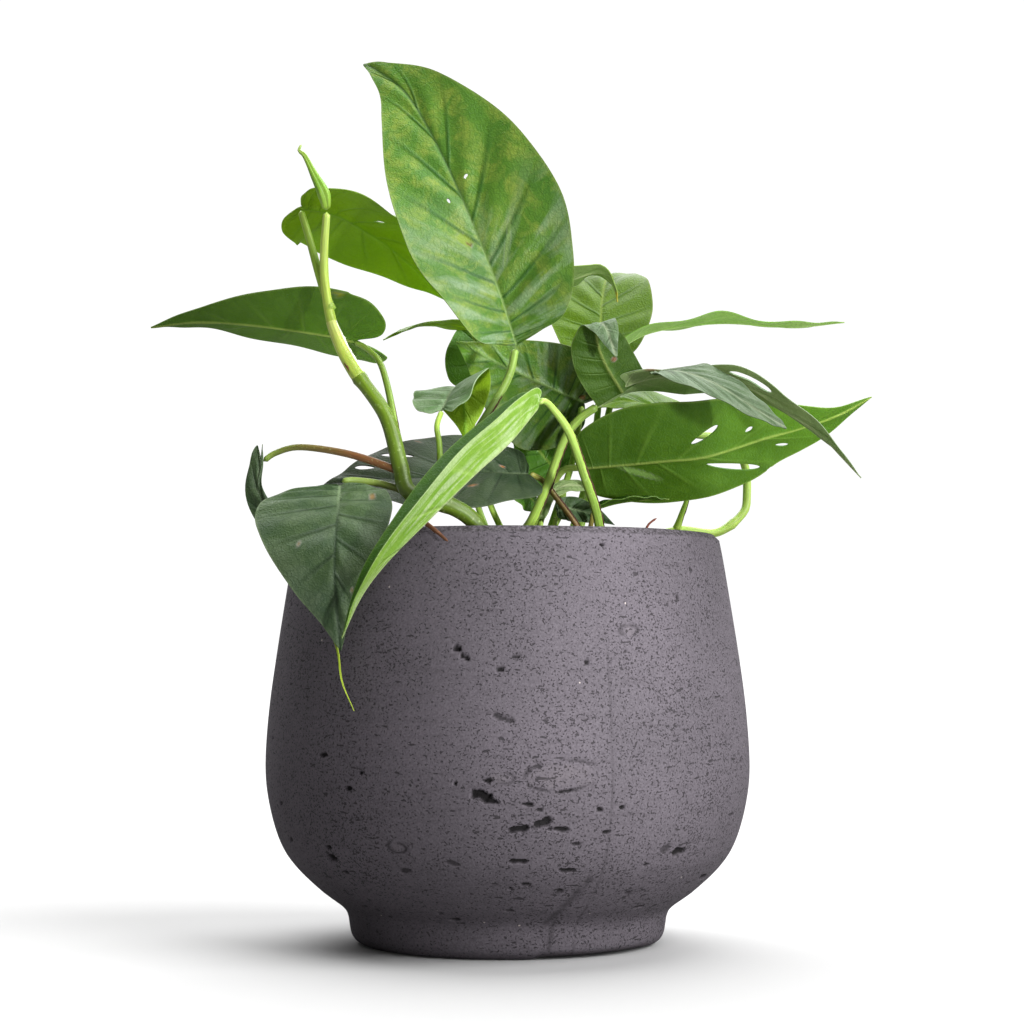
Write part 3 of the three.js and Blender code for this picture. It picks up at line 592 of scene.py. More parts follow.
@dataclass
class Blade:
    """One leaf blade, or a lobe that stands off one.

    Its spine runs from the stalk to the tip, and face holds the ways that its upper face looks along it.
    Where no outline is given, belly, lobe and drip shape a heart. wave is a long wave's height in
    millimetres, its count and the lag between the halves. quilt and ripple are how far the blade swells
    between its veins and ripples at its margin, in millimetres, and tone is painted light and shade: it
    brightens or darkens the blade's colour along the midrib, for the way light falls on it.
    """

    name: str
    spine: Sequence[Point]
    face: Sequence[Point]
    plus: Half
    minus: Half
    upper: LeafLook = LeafLook.DEEP
    under: LeafLook = LeafLook.UNDER_DEEP
    slot: str = "green_leaf"
    belly: float = HEART_BELLY
    lobe: float = 1.0
    drip: float = 0.0
    sweep: float = RIB_SWEEP
    wave: Point = (0.0, 0.0, 0.0)
    outline: Sequence[Pair] = ()
    holes: Sequence[Hole] = ()
    marks: Sequence[Mark] = ()
    flaps: Sequence["Blade"] = ()
    veins: float = 8.0
    rows: int = 72
    columns: int = 20
    quilt: float = 0.35
    ripple: float = 0.35
    # Painted light and shade along the midrib, from the stalk to the tip
    tone: Sequence[float] = (1, 1)
    seed: float = 0.0
    path: SmoothPath = field(init=False)

    COLUMN_POWER = 1.35
    EDGE_THINNING = 0.55
    MIDRIB_WIDTH = 1.0
    MIDRIB_HEIGHT = 0.75
    NUDGE = 1e-3
    UNEVEN_SCALE = 0.06
    RIPPLES = 5.5
    RIPPLE_LAG = 1.9
    SEED_SHIFT = 40
    MIDRIB_SINK = 0.3
    MIDRIB_TAPER = 0.8

    # Faces near a hole are divided as far out as this share of the hole and a few millimetres more
    HOLE_REACH = 1.2
    HOLE_ROOM = 3.0

    def __post_init__(self) -> None:
        """Measures the spine and settles the outline."""
        self.path = SmoothPath(self.spine)
        self.outline = self.outline or heart(self.belly, self.lobe, self.drip)

    def bent(self, a: np.ndarray, b: np.ndarray) -> np.ndarray:
        """Bends the flat blade into its place.

        Args:
            a: Places along the midrib.
            b: Places across the blade.

        Returns:
            Points in millimetres.
        """
        inside = np.clip(a, 0, 1)
        side = np.where(b < 0, -1.0, 1.0)
        tangent = self.path.tangent(inside)
        face = along(self.face, inside)
        face = unit(face - (face * tangent).sum(1)[:, None] * tangent)
        across = np.cross(tangent, face)

        def pick(choose: Callable[[Half], np.ndarray]) -> np.ndarray:
            """The value of whichever half each point lies on."""
            return np.where(b < 0, choose(self.minus), choose(self.plus))

        reach = np.abs(b) * pick(lambda half: half.width * along(half.share, inside))
        curl = np.radians(pick(lambda half: along(half.curl, inside))) * np.abs(b)
        fold = np.radians(pick(lambda half: along(half.fold, inside)))
        bend = np.minimum(fold, reach / MIDRIB_ROUND)
        middle = bend + curl / 2
        chord = (reach - bend * MIDRIB_ROUND) * np.sinc(curl / (2 * np.pi))
        out = MIDRIB_ROUND * np.sin(bend) + chord * np.cos(middle)
        rise = MIDRIB_ROUND * (1 - np.cos(bend)) + chord * np.sin(middle)
        height, count, phase = self.wave
        wave = height * b * b * np.sin(2 * np.pi * count * a + side * phase)
        return (self.path.at(inside) + tangent * ((a - inside) * self.path.length)[:, None]
                + across * (side * out)[:, None]
                + face * (rise + wave)[:, None])

    def normals(self, a: np.ndarray, b: np.ndarray) -> np.ndarray:
        """The directions that the upper face looks in.

        Args:
            a: Places along the midrib.
            b: Places across the blade.

        Returns:
            Unit vectors.
        """
        h = self.NUDGE
        onward = self.bent(a + h, b) - self.bent(a - h, b)
        aside = self.bent(a, b + h) - self.bent(a, b - h)
        return unit(np.cross(aside, onward))

    def sheet(self) -> bmesh.types.BMesh:
        """Lays the blade out flat, with its holes cut.

        Returns:
            A bmesh whose x and y are a and b, with its rib share and side share in layers.
        """
        bm = bmesh.new()
        u_layer = bm.verts.layers.float.new("u")
        t_layer = bm.verts.layers.float.new("t")
        bmesh.ops.create_grid(bm, x_segments=2 * self.columns, y_segments=self.rows, size=1.0)
        verts = bm.verts[:]
        across = np.array([v.co.x for v in verts])
        t = np.sign(across) * np.abs(across) ** self.COLUMN_POWER
        u = np.array([(v.co.y + 1) / 2 for v in verts])
        edge = smooth_through(np.array(self.outline, float), u, False)
        root = u ** self.sweep
        a = root + (edge[:, 0] - root) * np.abs(t)
        b = edge[:, 1] * t
        for k, vert in enumerate(verts):
            vert.co = (a[k], b[k], 0)
            vert[u_layer] = u[k]
            vert[t_layer] = t[k]
        for hole in self.holes:
            self.cut(bm, hole)
        return bm

    def side_and_width(self, b: float) -> Pair:
        """Which side a place across the blade is on, -1 or 1, and that half's width in millimetres."""
        return (-1, self.minus.width) if b < 0 else (1, self.plus.width)

    def oval(self, middle: Hole | Mark, a: float, b: float) -> Pair:
        """Where a flat point lies in a hole or a mark.

        Args:
            middle: The hole or the mark.
            a: The point's place along the midrib.
            b: The point's place across the blade.

        Returns:
            The point's two coordinates, each 1 on the oval's edge.
        """
        side, width = self.side_and_width(middle.b)
        x = (a - middle.a) * self.path.length
        y = side * (b - middle.b) * width
        turn = math.radians(middle.turn)
        return ((x * math.cos(turn) + y * math.sin(turn)) * 2 / middle.size[0],
                (y * math.cos(turn) - x * math.sin(turn)) * 2 / middle.size[1])

    def cut(self, bm: bmesh.types.BMesh, hole: Hole) -> None:
        """Cuts a hole in the flat blade, with a smooth edge.

        Args:
            bm: The flat blade.
            hole: The hole.
        """
        side, width = self.side_and_width(hole.b)
        reach = self.HOLE_REACH + self.HOLE_ROOM / min(hole.size)

        def radius(co: Vector) -> float:
            """How far out a flat point is, 1 on the hole's edge."""
            return math.hypot(*self.oval(hole, co.x, co.y))

        for _ in range(2):
            near = {e for f in bm.faces if radius(f.calc_center_median()) < reach for e in f.edges}
            bmesh.ops.subdivide_edges(bm, edges=list(near), cuts=1, use_grid_fill=True)
        gone = [f for f in bm.faces if radius(f.calc_center_median()) < 1]
        bmesh.ops.delete(bm, geom=gone, context="FACES")
        turn = math.radians(hole.turn)
        for vert in bm.verts:
            if not vert.is_boundary or radius(vert.co) > 1.5:
                continue
            x, y = self.oval(hole, vert.co.x, vert.co.y)
            angle = math.atan2(y, x)
            narrow = 1 - hole.point * (1 - math.cos(angle)) / 2
            ex = math.cos(angle) * hole.size[0] / 2
            ey = math.sin(angle) * hole.size[1] / 2 * narrow
            vert.co.x = hole.a + (ex * math.cos(turn) - ey * math.sin(turn)) / self.path.length
            vert.co.y = hole.b + side * (ex * math.sin(turn) + ey * math.cos(turn)) / width
        crowded = [f for f in bm.faces if len(f.verts) > 4]
        bmesh.ops.triangulate(bm, faces=crowded)

    def rib_number(self, u: np.ndarray, t: np.ndarray) -> np.ndarray:
        """Numbers the side veins, which leave the midrib in turn on the two sides."""
        return u * self.veins + np.where(t < 0, 0.5, 0.0)

    def relief(self, u: np.ndarray, t: np.ndarray, points: np.ndarray) -> np.ndarray:
        """How far the blade stands up between its side veins and waves at its margin.

        Args:
            u: Each vertex's share along the margin.
            t: Each vertex's share across its half.
            points: The vertices, in millimetres.

        Returns:
            Heights in millimetres.
        """
        uneven = np.array([noise.noise(Vector(p) * self.UNEVEN_SCALE) for p in points])
        out = np.abs(t)
        swell = -np.cos(2 * np.pi * self.rib_number(u, t)) * ease(0, 0.25, out) * (1 - out ** 3)
        lag = np.where(t < 0, self.RIPPLE_LAG, 0.0)
        ripple = np.sin(2 * np.pi * (u * self.RIPPLES + self.seed) + lag) * out ** 4
        calm = ease(0, 0.1, u) * ease(1, 0.85, u)
        quilted = self.quilt * (0.8 + uneven) * swell
        return calm * (quilted + self.ripple * (ripple + 0.8 * uneven * out ** 2))

    def closed(self) -> bmesh.types.BMesh:
        """Gives the flat blade its two faces and bends it into place.

        Returns:
            A closed bmesh in millimetres, whose under faces have material number 1.
        """
        bm = self.sheet()
        bmesh.ops.solidify(bm, geom=bm.faces[:], thickness=1.0)
        u_layer = bm.verts.layers.float["u"]
        t_layer = bm.verts.layers.float["t"]
        flat_layer = bm.verts.layers.float_vector.new("flat")
        verts = bm.verts[:]
        a = np.array([v.co.x for v in verts])
        b = np.array([v.co.y for v in verts])
        under = np.array([abs(v.co.z) > 0.5 for v in verts])
        u = np.array([v[u_layer] for v in verts])
        t = np.array([v[t_layer] for v in verts])
        points = self.bent(a, b)
        normal = self.normals(a, b)
        off = np.abs(b) * np.where(b < 0, self.minus.width, self.plus.width)
        thick = BLADE_THICKNESS / 2 * (1 - self.EDGE_THINNING * np.abs(t) ** 6)
        rib = np.exp(-(off / self.MIDRIB_WIDTH) ** 2)
        ridge = rib * self.MIDRIB_HEIGHT * (1 - self.MIDRIB_TAPER * np.clip(a, 0, 1))
        skin = np.where(under, -thick - ridge, thick - self.MIDRIB_SINK * rib)
        lift = self.relief(u, t, points) + skin
        points = points + normal * lift[:, None]
        side = np.where(b < 0, -1.0, 1.0)
        for k, vert in enumerate(verts):
            vert.co = points[k]
            vert[flat_layer] = (a[k] * self.path.length, side[k] * off[k], self.seed * self.SEED_SHIFT)
        for face in bm.faces:
            face.material_index = int(all(under[v.index] for v in face.verts))
        bmesh.ops.recalc_face_normals(bm, faces=bm.faces[:])
        return bm

    def mesh(self) -> bpy.types.Mesh:
        """Finishes the blade, with its colours' coordinates in attributes.

        Returns:
            The mesh, in metres.
        """
        bm = self.closed()
        u = np.array([v[bm.verts.layers.float["u"]] for v in bm.verts])
        t = np.array([v[bm.verts.layers.float["t"]] for v in bm.verts])
        flat = np.array([v[bm.verts.layers.float_vector["flat"]][:] for v in bm.verts])
        mesh = finish_mesh(bm, self.name + "_blade")
        write_attribute(mesh, "rib", "FLOAT", self.rib_number(u, t))
        write_attribute(mesh, "across", "FLOAT", t)
        # The tone attribute is painted light and shade along the midrib
        write_attribute(mesh, "tone", "FLOAT", along(self.tone, flat[:, 0] / self.path.length))
        write_attribute(mesh, "mark", "FLOAT_COLOR", self.painted(flat))
        return mesh

    def painted(self, flat: np.ndarray) -> np.ndarray:
        """Colours the marks.

        Args:
            flat: Each vertex's place on the flat blade, in millimetres.

        Returns:
            A colour for each vertex, whose alpha is how strong the mark is there.
        """
        colours = np.zeros((len(flat), 4))
        colours[:, :3] = 0.5
        for mark in self.marks:
            width = np.where(flat[:, 1] < 0, self.minus.width, self.plus.width)
            a = flat[:, 0] / self.path.length
            b = flat[:, 1] / width
            inside = np.array([math.hypot(*self.oval(mark, *p)) for p in zip(a, b)])
            strong = mark.strength * ease(1.25, 0.7, inside)
            if mark.b:
                strong = np.where(np.sign(flat[:, 1]) == np.sign(mark.b), strong, 0)
            newer = strong > colours[:, 3]
            colours[newer, :3] = linear(mark.colour)[:3]
            colours[newer, 3] = strong[newer]
        return colours


# Stems, stalks and roots


class Coat(Enum):
    """What a tube's skin is, by its number among the piece's materials."""

    LIVING = 0
    DRY = 1


@dataclass
class Tube:
    """A round stem, stalk or root along a smooth path.

    Its radii and tones change evenly along it. A swelling is a place along it and how far it stands out
    there, and flare, ragged and groove are shares of the radius.
    """

    points: Sequence[Point]
    radii: Sequence[float]
    tones: Sequence[str] = ("86a83e", "7da03a")
    coat: Coat = Coat.LIVING
    flare: float = 0.35
    ragged: float = 0.0
    swellings: Sequence[Pair] = ()
    edges: Sequence["SheathEdge"] = ()
    groove: float = 0.0
    sides: int = 14
    step: float = 1.6
    round_end: float = 1.0

    FLARE_LENGTH = 3.0
    SWELLING_LENGTH = 1.7
    BUNCHING = 0.3
    GROOVE_BEARING = 2.6
    GROOVE_WIDTH = 0.45

    def radius(self, share: np.ndarray, length: float) -> np.ndarray:
        """The tube's radius along it.

        Args:
            share: Places from 0 to 1.
            length: The tube's length in millimetres.

        Returns:
            Radii in millimetres, with a flare at the root, swellings at the joints and a rounded end.
        """
        walked = share * length
        radius = along(self.radii, share)
        radius = radius * (1 + self.flare * np.exp(-(walked / self.FLARE_LENGTH) ** 2))
        for place, extra in self.swellings:
            radius = radius + extra * np.exp(-((walked - place * length) / self.SWELLING_LENGTH) ** 2)
        tip = float(self.radii[-1]) * self.round_end
        left = np.clip((length - walked) / max(tip, 1e-6), 0, 1)
        start = np.clip(walked / max(float(self.radii[0]) * 0.5, 1e-6), 0, 1)
        return radius * np.sqrt(1 - (1 - left) ** 2) * np.sqrt(1 - (1 - start) ** 2)

    def frames(self, path: SmoothPath, shares: np.ndarray) -> tuple[np.ndarray, np.ndarray, np.ndarray]:
        """Carries a pair of cross directions along the path without twist.

        Args:
            path: The path.
            shares: The places along it.

        Returns:
            The points, and the two cross directions at each.
        """
        points = path.at(shares)
        tangents = path.tangent(shares)
        first = np.cross(tangents[0], (0.0, 0.0, 1.0))
        if np.linalg.norm(first) < 0.1:
            first = np.cross(tangents[0], (1.0, 0.0, 0.0))
        sides = [first / np.linalg.norm(first)]
        for tangent in tangents[1:]:
            carried = sides[-1] - tangent * (sides[-1] @ tangent)
            sides.append(carried / np.linalg.norm(carried))
        side = np.array(sides)
        return points, side, np.cross(tangents, side)

    def add_to(self, bm: bmesh.types.BMesh) -> None:
        """Adds the tube to a piece.

        Args:
            bm: The piece, in millimetres, with a colour layer "tint" and a vector layer "skin".
        """
        tint_layer = bm.verts.layers.float_color["tint"]
        skin_layer = bm.verts.layers.float_vector["skin"]
        path = SmoothPath(self.points)
        steps = max(6, round(path.length / self.step))
        grid = bmesh.ops.create_grid(bm, x_segments=self.sides, y_segments=steps, size=1.0)["verts"]
        turn = np.array([(v.co.x + 1) * math.pi for v in grid])
        raw = np.array([(v.co.y + 1) / 2 for v in grid])
        bunched = raw - self.BUNCHING * np.sin(2 * np.pi * raw) / (2 * np.pi)
        levels, index = np.unique(np.round(bunched, 6), return_inverse=True)
        points, first, second = self.frames(path, levels)
        radius = self.radius(levels, path.length)[index]
        if self.ragged:
            wobble = [noise.noise(Vector(points[i]) * 0.9 + Vector((math.cos(w), math.sin(w), 0)))
                      for i, w in zip(index, turn)]
            radius = radius * (1 + self.ragged * np.array(wobble))
        if self.groove:
            aside = np.angle(np.exp(1j * (turn - self.GROOVE_BEARING)))
            radius = radius * (1 - self.groove * np.exp(-(aside / self.GROOVE_WIDTH) ** 2))
        centre = points[index]
        place = centre + (first[index] * (np.cos(turn) * radius)[:, None]
                          + second[index] * (np.sin(turn) * radius)[:, None])
        tones = np.array([linear(code) for code in self.tones])
        tint = along(tones, bunched)
        for k, vert in enumerate(grid):
            vert.co = place[k]
            vert[tint_layer] = tint[k]
            vert[skin_layer] = (math.cos(turn[k]) * 2, math.sin(turn[k]) * 2, bunched[k] * path.length)
        faces = {f for v in grid for f in v.link_faces}
        for face in faces:
            face.material_index = self.coat.value
        bmesh.ops.remove_doubles(bm, verts=grid, dist=1e-4)
        for edge in self.edges:
            edge.add_to(bm, self, path)


@dataclass
class SheathEdge:
    """The dry edge of the sheath that runs up one side of a stalk: where, on which side and how thick."""

    start: float
    end: float
    side: Point
    radius: float = 0.32
    tones: Sequence[str] = ("3c2218", "4a2a1c")

    POINTS = 9
    SUNK = 0.93
    TAPER = (0.5, 1.0, 1.0, 0.4)

    def add_to(self, bm: bmesh.types.BMesh, stalk: Tube, path: SmoothPath) -> None:
        """Adds the edge to a piece.

        Args:
            bm: The piece.
            stalk: The stalk that it runs along.
            path: The stalk's path.
        """
        shares = np.linspace(self.start, self.end, self.POINTS)
        tangents = path.tangent(shares)
        out = np.array(self.side, float)
        out = unit(out - (tangents @ out)[:, None] * tangents)
        radius = stalk.radius(shares, path.length)
        centres = path.at(shares) + out * (radius * self.SUNK)[:, None]
        radii = [self.radius * share for share in self.TAPER]
        Tube([tuple(p) for p in centres], radii, self.tones, Coat.DRY, flare=0, ragged=0.9, sides=7,
             step=1.0).add_to(bm)


class StemFinishes:
    """Living stem skin, and the dry brown skin of roots and sheath edges."""

    @staticmethod
    def living() -> bpy.types.Material:
        """Living green stem: smooth waxy skin with fine lengthwise streaks, slightly translucent.

        Returns:
            The material.
        """
        material, tree = new_material("living_stem_skin")
        tint = add(tree, "Attribute", attribute_name="tint")
        skin = add(tree, "Attribute", attribute_name="skin")
        drawn = add(tree, "VectorMath", {0: (skin, "Vector"), 1: (1.4, 1.4, 0.09)}, operation="MULTIPLY")
        streak = add(tree, "TexNoise", {"Vector": drawn, "Scale": 1.0, "Detail": 4.0})
        light = add(tree, "MapRange", {0: streak, 1: 0.3, 2: 0.7, 3: 0.72, 4: 1.25})
        speck = add(tree, "TexNoise", {"Vector": (skin, "Vector"), "Scale": 0.9, "Detail": 5.0})
        speck_mask = add(tree, "MapRange", {0: speck, 1: 0.6, 2: 0.72, 4: 0.35})
        scaled = add(tree, "VectorMath", {0: (tint, "Color"), "Scale": light}, operation="SCALE")
        tone = add(tree, "Mix", {0: speck_mask, 6: scaled, 7: "b7c98a"}, data_type="RGBA")
        bump = add(tree, "Bump", {"Strength": 0.35, "Distance": 0.12 * MM, "Height": streak})
        wax = add(tree, "BsdfPrincipled", {
            "Base Color": tone, "Roughness": 0.4, "Normal": bump, "IOR": 1.42,
            "Subsurface Weight": 0.15, "Subsurface Radius": (0.4, 1.0, 0.2), "Subsurface Scale": 1.2 * MM})
        add(tree, "OutputMaterial", {"Surface": wax})
        return material

    @staticmethod
    def dry() -> bpy.types.Material:
        """Dry root bark and sheath edge: dull brown fibres with pale dust.

        Returns:
            The material.
        """
        material, tree = new_material("dry_root_bark")
        tint = add(tree, "Attribute", attribute_name="tint")
        skin = add(tree, "Attribute", attribute_name="skin")
        fibre = add(tree, "TexNoise", {"Vector": (skin, "Vector"), "Scale": 0.8, "Detail": 6.0,
                                       "Roughness": 0.7})
        light = add(tree, "MapRange", {0: fibre, 1: 0.3, 2: 0.7, 3: 0.55, 4: 1.6})
        tone = add(tree, "VectorMath", {0: (tint, "Color"), "Scale": light}, operation="SCALE")
        bump = add(tree, "Bump", {"Strength": 0.7, "Distance": 0.25 * MM, "Height": fibre})
        bark = add(tree, "BsdfPrincipled", {"Base Color": tone, "Roughness": 0.8, "Normal": bump})
        add(tree, "OutputMaterial", {"Surface": bark})
        return material


@dataclass
class Growth:
    """One body of stems, stalks or roots."""

    node: str
    slot: str
    tubes: Sequence[Tube]

    def build(self, materials: Sequence[bpy.types.Material]) -> bpy.types.Object:
        """Makes the piece.

        Args:
            materials: The living and the dry skin.

        Returns:
            The object.
        """
        bm = bmesh.new()
        bm.verts.layers.float_color.new("tint")
        bm.verts.layers.float_vector.new("skin")
        for tube in self.tubes:
            tube.add_to(bm)
        bmesh.ops.recalc_face_normals(bm, faces=bm.faces[:])
        return put_in_scene(finish_mesh(bm, self.node + "_skin", 75), materials, self.node)


# The pot


@dataclass(frozen=True)
class Flaw:
    """An air pit or a scar in the cast wall.

    Its middle is given by its bearing from the front in degrees and its height, and it has a half length, a
    half height, a depth and a tilt in degrees. A ring is a scar that runs round its edge alone.
    """

    bearing: float
    height: float
    long: float
    tall: float
    deep: float = 1.0
    tilt: float = 0.0
    ring: bool = False


@dataclass(frozen=True)
class Smear:
    """A faint dark line down the wall, from one bearing and height to another, with its half width."""

    start: Pair
    end: Pair
    width: float
    strength: float


@dataclass
class ConcretePot:
    """The cast pot: foot, belly, chamfered rim, wall and floor, with air pits in its skin."""

    node: str = "pot"
    slot: str = "concrete"
    around: int = 300
    belly_steps: int = 90
    seed: int = 7
    loose_flaws: int = 46
    foot: Sequence[Pair] = ((49.5, 0), (51.4, 0.5), (53.4, 1.7), (54.7, 3.7), (55.3, 6.5), (55.7, 9.3))
    belly: Sequence[Pair] = ((56.4, 11.4), (58.6, 13.7), (66, 19.2), (74.7, 27.6), (79.9, 36), (83.6, 48.6),
                             (POT_RADIUS, 62), (83.7, 82), (80.4, 107), (76.4, 132),
                             (RIM_RADIUS, POT_HEIGHT - RIM_CHAMFER))
    flaws: Sequence[Flaw] = (
        Flaw(-5.6, 56, 3.4, 1.7, 2.2, -12), Flaw(-3.6, 54.3, 2.6, 1.0, 1.6, -10),
        Flaw(2.7, 45.3, 4.6, 1.2, 1.6, 8), Flaw(7.7, 47.2, 3.0, 1.5, 1.3, 15),
        Flaw(12.1, 45, 3.6, 0.8, 1.2, -4), Flaw(-11.5, 102.7, 1.6, 1.0, 1.6, -10),
        Flaw(-9.6, 99.9, 1.9, 0.8, 1.2, -30), Flaw(-1.7, 96, 1.3, 0.8), Flaw(1.8, 99.9, 1.3, 0.6),
        Flaw(18.5, 98.3, 1.3, 0.7), Flaw(-0.8, 80.4, 5.5, 0.9, 0.6, -18), Flaw(-11.3, 59.7, 0.9, 0.8),
        Flaw(-4.3, 60.7, 1.5, 0.8, 1.1), Flaw(2.5, 34.7, 4.1, 0.8, 1.3), Flaw(14.3, 31.5, 3.2, 0.8, 1.1),
        Flaw(-12.9, 33.9, 2.8, 0.8, 0.5, -12), Flaw(0.7, 25.5, 0.9, 0.7, 0.9),
        Flaw(4.7, 26.8, 1.5, 0.7, 1.0), Flaw(13.7, 24.1, 1.0, 0.9, 0.9), Flaw(34.3, 22.9, 1.1, 0.7),
        Flaw(43.6, 16.8, 2.2, 0.6, 0.9), Flaw(20.8, 51.1, 1.2, 0.9), Flaw(26, 51.6, 1.0, 0.7),
        Flaw(23, 43.8, 1.6, 0.6), Flaw(44.6, 36, 4.2, 1.5, 1.2, 6), Flaw(40, 37.3, 2.2, 1.9, 0.5),
        Flaw(35.5, 32.5, 1.6, 0.6), Flaw(-47, 34, 2.6, 1.2, 1.4, -12), Flaw(-47, 37.3, 1.6, 0.7, 1.1),
        Flaw(-44.5, 29, 1.8, 0.6, 1.0, -10), Flaw(-37.6, 57.2, 2.0, 0.8, 1.2),
        Flaw(-45.3, 67.8, 2.4, 0.8), Flaw(-34, 62.5, 0.8, 0.6), Flaw(-16.7, 13.8, 2.6, 0.7, 0.9, 6),
        Flaw(-21, 16, 1.4, 0.5, 0.8), Flaw(0.4, 17.4, 2.0, 0.5, 0.7), Flaw(24, 136.5, 1.1, 0.8, 1.2),
        Flaw(46, 119.4, 0.8, 1.2), Flaw(53, 129, 0.7, 1.4), Flaw(-25, 31, 2.6, 0.9, 0.6),
        Flaw(15.7, 40.2, 2.1, 0.7, 0.8), Flaw(7, 51.5, 1.4, 0.6, 0.8), Flaw(4.2, 53.2, 1.8, 0.6, 1.0),
        Flaw(12.6, 57.2, 3.6, 0.5, 0.9, 10), Flaw(11.9, 62.2, 12.5, 5.0, 0.5, 3, True),
        Flaw(-0.9, 61.5, 3.6, 1.7, 0.4, -6, True), Flaw(-26.3, 38.6, 3.2, 1.7, 0.5, -8, True),
        Flaw(29.5, 108.5, 3.5, 1.8, 0.5, 0, True),
    )
    smears: Sequence[Smear] = (
        Smear((23.4, 0), (23.4, 103), 0.45, 0.3), Smear((20.5, 28), (15.4, 13), 1.3, 0.55),
        Smear((15.4, 13), (14.6, 3), 0.9, 0.45),
    )

    # The flat lip between the chamfer and the inner wall, and the heights where the inner wall has rings
    LIP_RADII = (RIM_RADIUS - RIM_CHAMFER - 0.4, 70.5, RIM_RADIUS - POT_WALL + 0.7)
    INNER_LEVELS = (POT_HEIGHT - 0.7, 139, 135, 131, 127, 116, 92, 68, 48, 36, 27, 20)

    # Flaws drawn at random keep to the sides and the back
    LOOSE_BEARINGS = (60, 300)
    LOOSE_LOWEST = 14
    LOOSE_RANGE = 122
    LOOSE_TILT = 14

    RAGGED = 0.5
    SCAR_WIDTH = 0.32
    SCAR_WOBBLE = 0.12
    SCAR_PALENESS = 0.3
    SMEAR_DEPTH = 0.15
    FINE_RINGS = (1.6, 0.7)
    WARP = 0.18
    WARP_SCALE = 0.03
    FOOT_EDGE = 0.6

    # The chip under the foot: its bearings and the stretches that it fades over, its heights and inner radius
    CHIP_BEARINGS = (8, 80)
    CHIP_FADES = (6, 25)
    CHIP_TOP = 3.5
    CHIP_HEIGHT = 0.9
    CHIP_RADIUS = 40

    def profile(self) -> list[Pair]:
        """The pot's half section, from the foot's centre up the outside and down the inside.

        Returns:
            Points (radius, height).
        """
        foot = smooth_through(np.array(self.foot, float), np.linspace(0, 1, 16), False)
        belly = smooth_through(np.array(self.belly, float), np.linspace(0, 1, self.belly_steps), False)
        rim_top = (RIM_RADIUS - RIM_CHAMFER, POT_HEIGHT)
        rim = [tuple(np.array(belly[-1]) * (1 - s) + np.array(rim_top) * s) for s in (0.12, 0.5, 0.88)]
        lip = [(radius, POT_HEIGHT) for radius in self.LIP_RADII]
        inner = [(self.inside_radius(z), z) for z in self.INNER_LEVELS]
        return [(0, 0), (25, 0), *map(tuple, foot), *map(tuple, belly), *rim, rim_top, *lip, *inner,
                (FLOOR_RADIUS, POT_FLOOR), (0, POT_FLOOR)]

    def inside_radius(self, z: float) -> float:
        """The inner wall's radius at a height."""
        outside = smooth_through(np.array(self.belly, float), np.linspace(0, 1, 200), False)
        return float(np.interp(z, outside[:, 1], outside[:, 0])) - POT_WALL

    def all_flaws(self) -> list[Flaw]:
        """The listed flaws, and others drawn at random all round.

        Returns:
            The flaws.
        """
        draw = random.Random(self.seed)
        flaws = list(self.flaws)
        for _ in range(self.loose_flaws):
            size = 0.8 + 2.0 * draw.random() ** 3
            height = self.LOOSE_LOWEST + self.LOOSE_RANGE * draw.random() ** 1.3
            flaws.append(Flaw(draw.uniform(*self.LOOSE_BEARINGS), height, size * draw.uniform(1.1, 1.8),
                              size * draw.uniform(0.4, 0.6), 0.6 + 0.35 * size,
                              draw.uniform(-self.LOOSE_TILT, self.LOOSE_TILT)))
        return flaws

    @staticmethod
    def places(points: np.ndarray, bearing: float, height: float) -> tuple[np.ndarray, np.ndarray]:
        """How far round the wall and how far up points are from a place, in millimetres."""
        round_wall = (np.degrees(np.arctan2(points[:, 0], -points[:, 1])) - bearing + 180) % 360 - 180
        return np.radians(round_wall) * np.hypot(points[:, 0], points[:, 1]), points[:, 2] - height

    def refine(self, bm: bmesh.types.BMesh) -> None:
        """Divides the wall's faces near each flaw, so that its edge is crisp.

        Args:
            bm: The pot.
        """
        for grow in self.FINE_RINGS:
            faces = bm.faces[:]
            middles = np.array([f.calc_center_median()[:] for f in faces])
            outer = np.hypot(middles[:, 0], middles[:, 1]) > RIM_RADIUS - POT_WALL / 2
            outer |= middles[:, 2] < self.belly[2][1]
            near = np.zeros(len(faces), bool)
            for flaw in self.all_flaws():
                x, z = self.places(middles, flaw.bearing, flaw.height)
                near |= (np.abs(x) < flaw.long * 1.15 + grow) & (np.abs(z) < flaw.tall * 1.25 + grow)
            for smear in self.smears:
                near |= self.beside(smear, middles) < smear.width + grow
            edges = {e for k in np.flatnonzero(near & outer) for e in faces[k].edges}
            bmesh.ops.subdivide_edges(bm, edges=list(edges), cuts=1, use_grid_fill=True)

    def beside(self, smear: Smear, points: np.ndarray) -> np.ndarray:
        """How far points are from a smear's line.

        Args:
            smear: The smear.
            points: The points, in millimetres.

        Returns:
            Their distances in millimetres.
        """
        x, z = self.places(points, *smear.start)
        reach = math.radians(smear.end[0] - smear.start[0]) * POT_RADIUS
        rise = smear.end[1] - smear.start[1]
        share = np.clip((x * reach + z * rise) / (reach ** 2 + rise ** 2), 0, 1)
        return np.hypot(x - share * reach, z - share * rise)

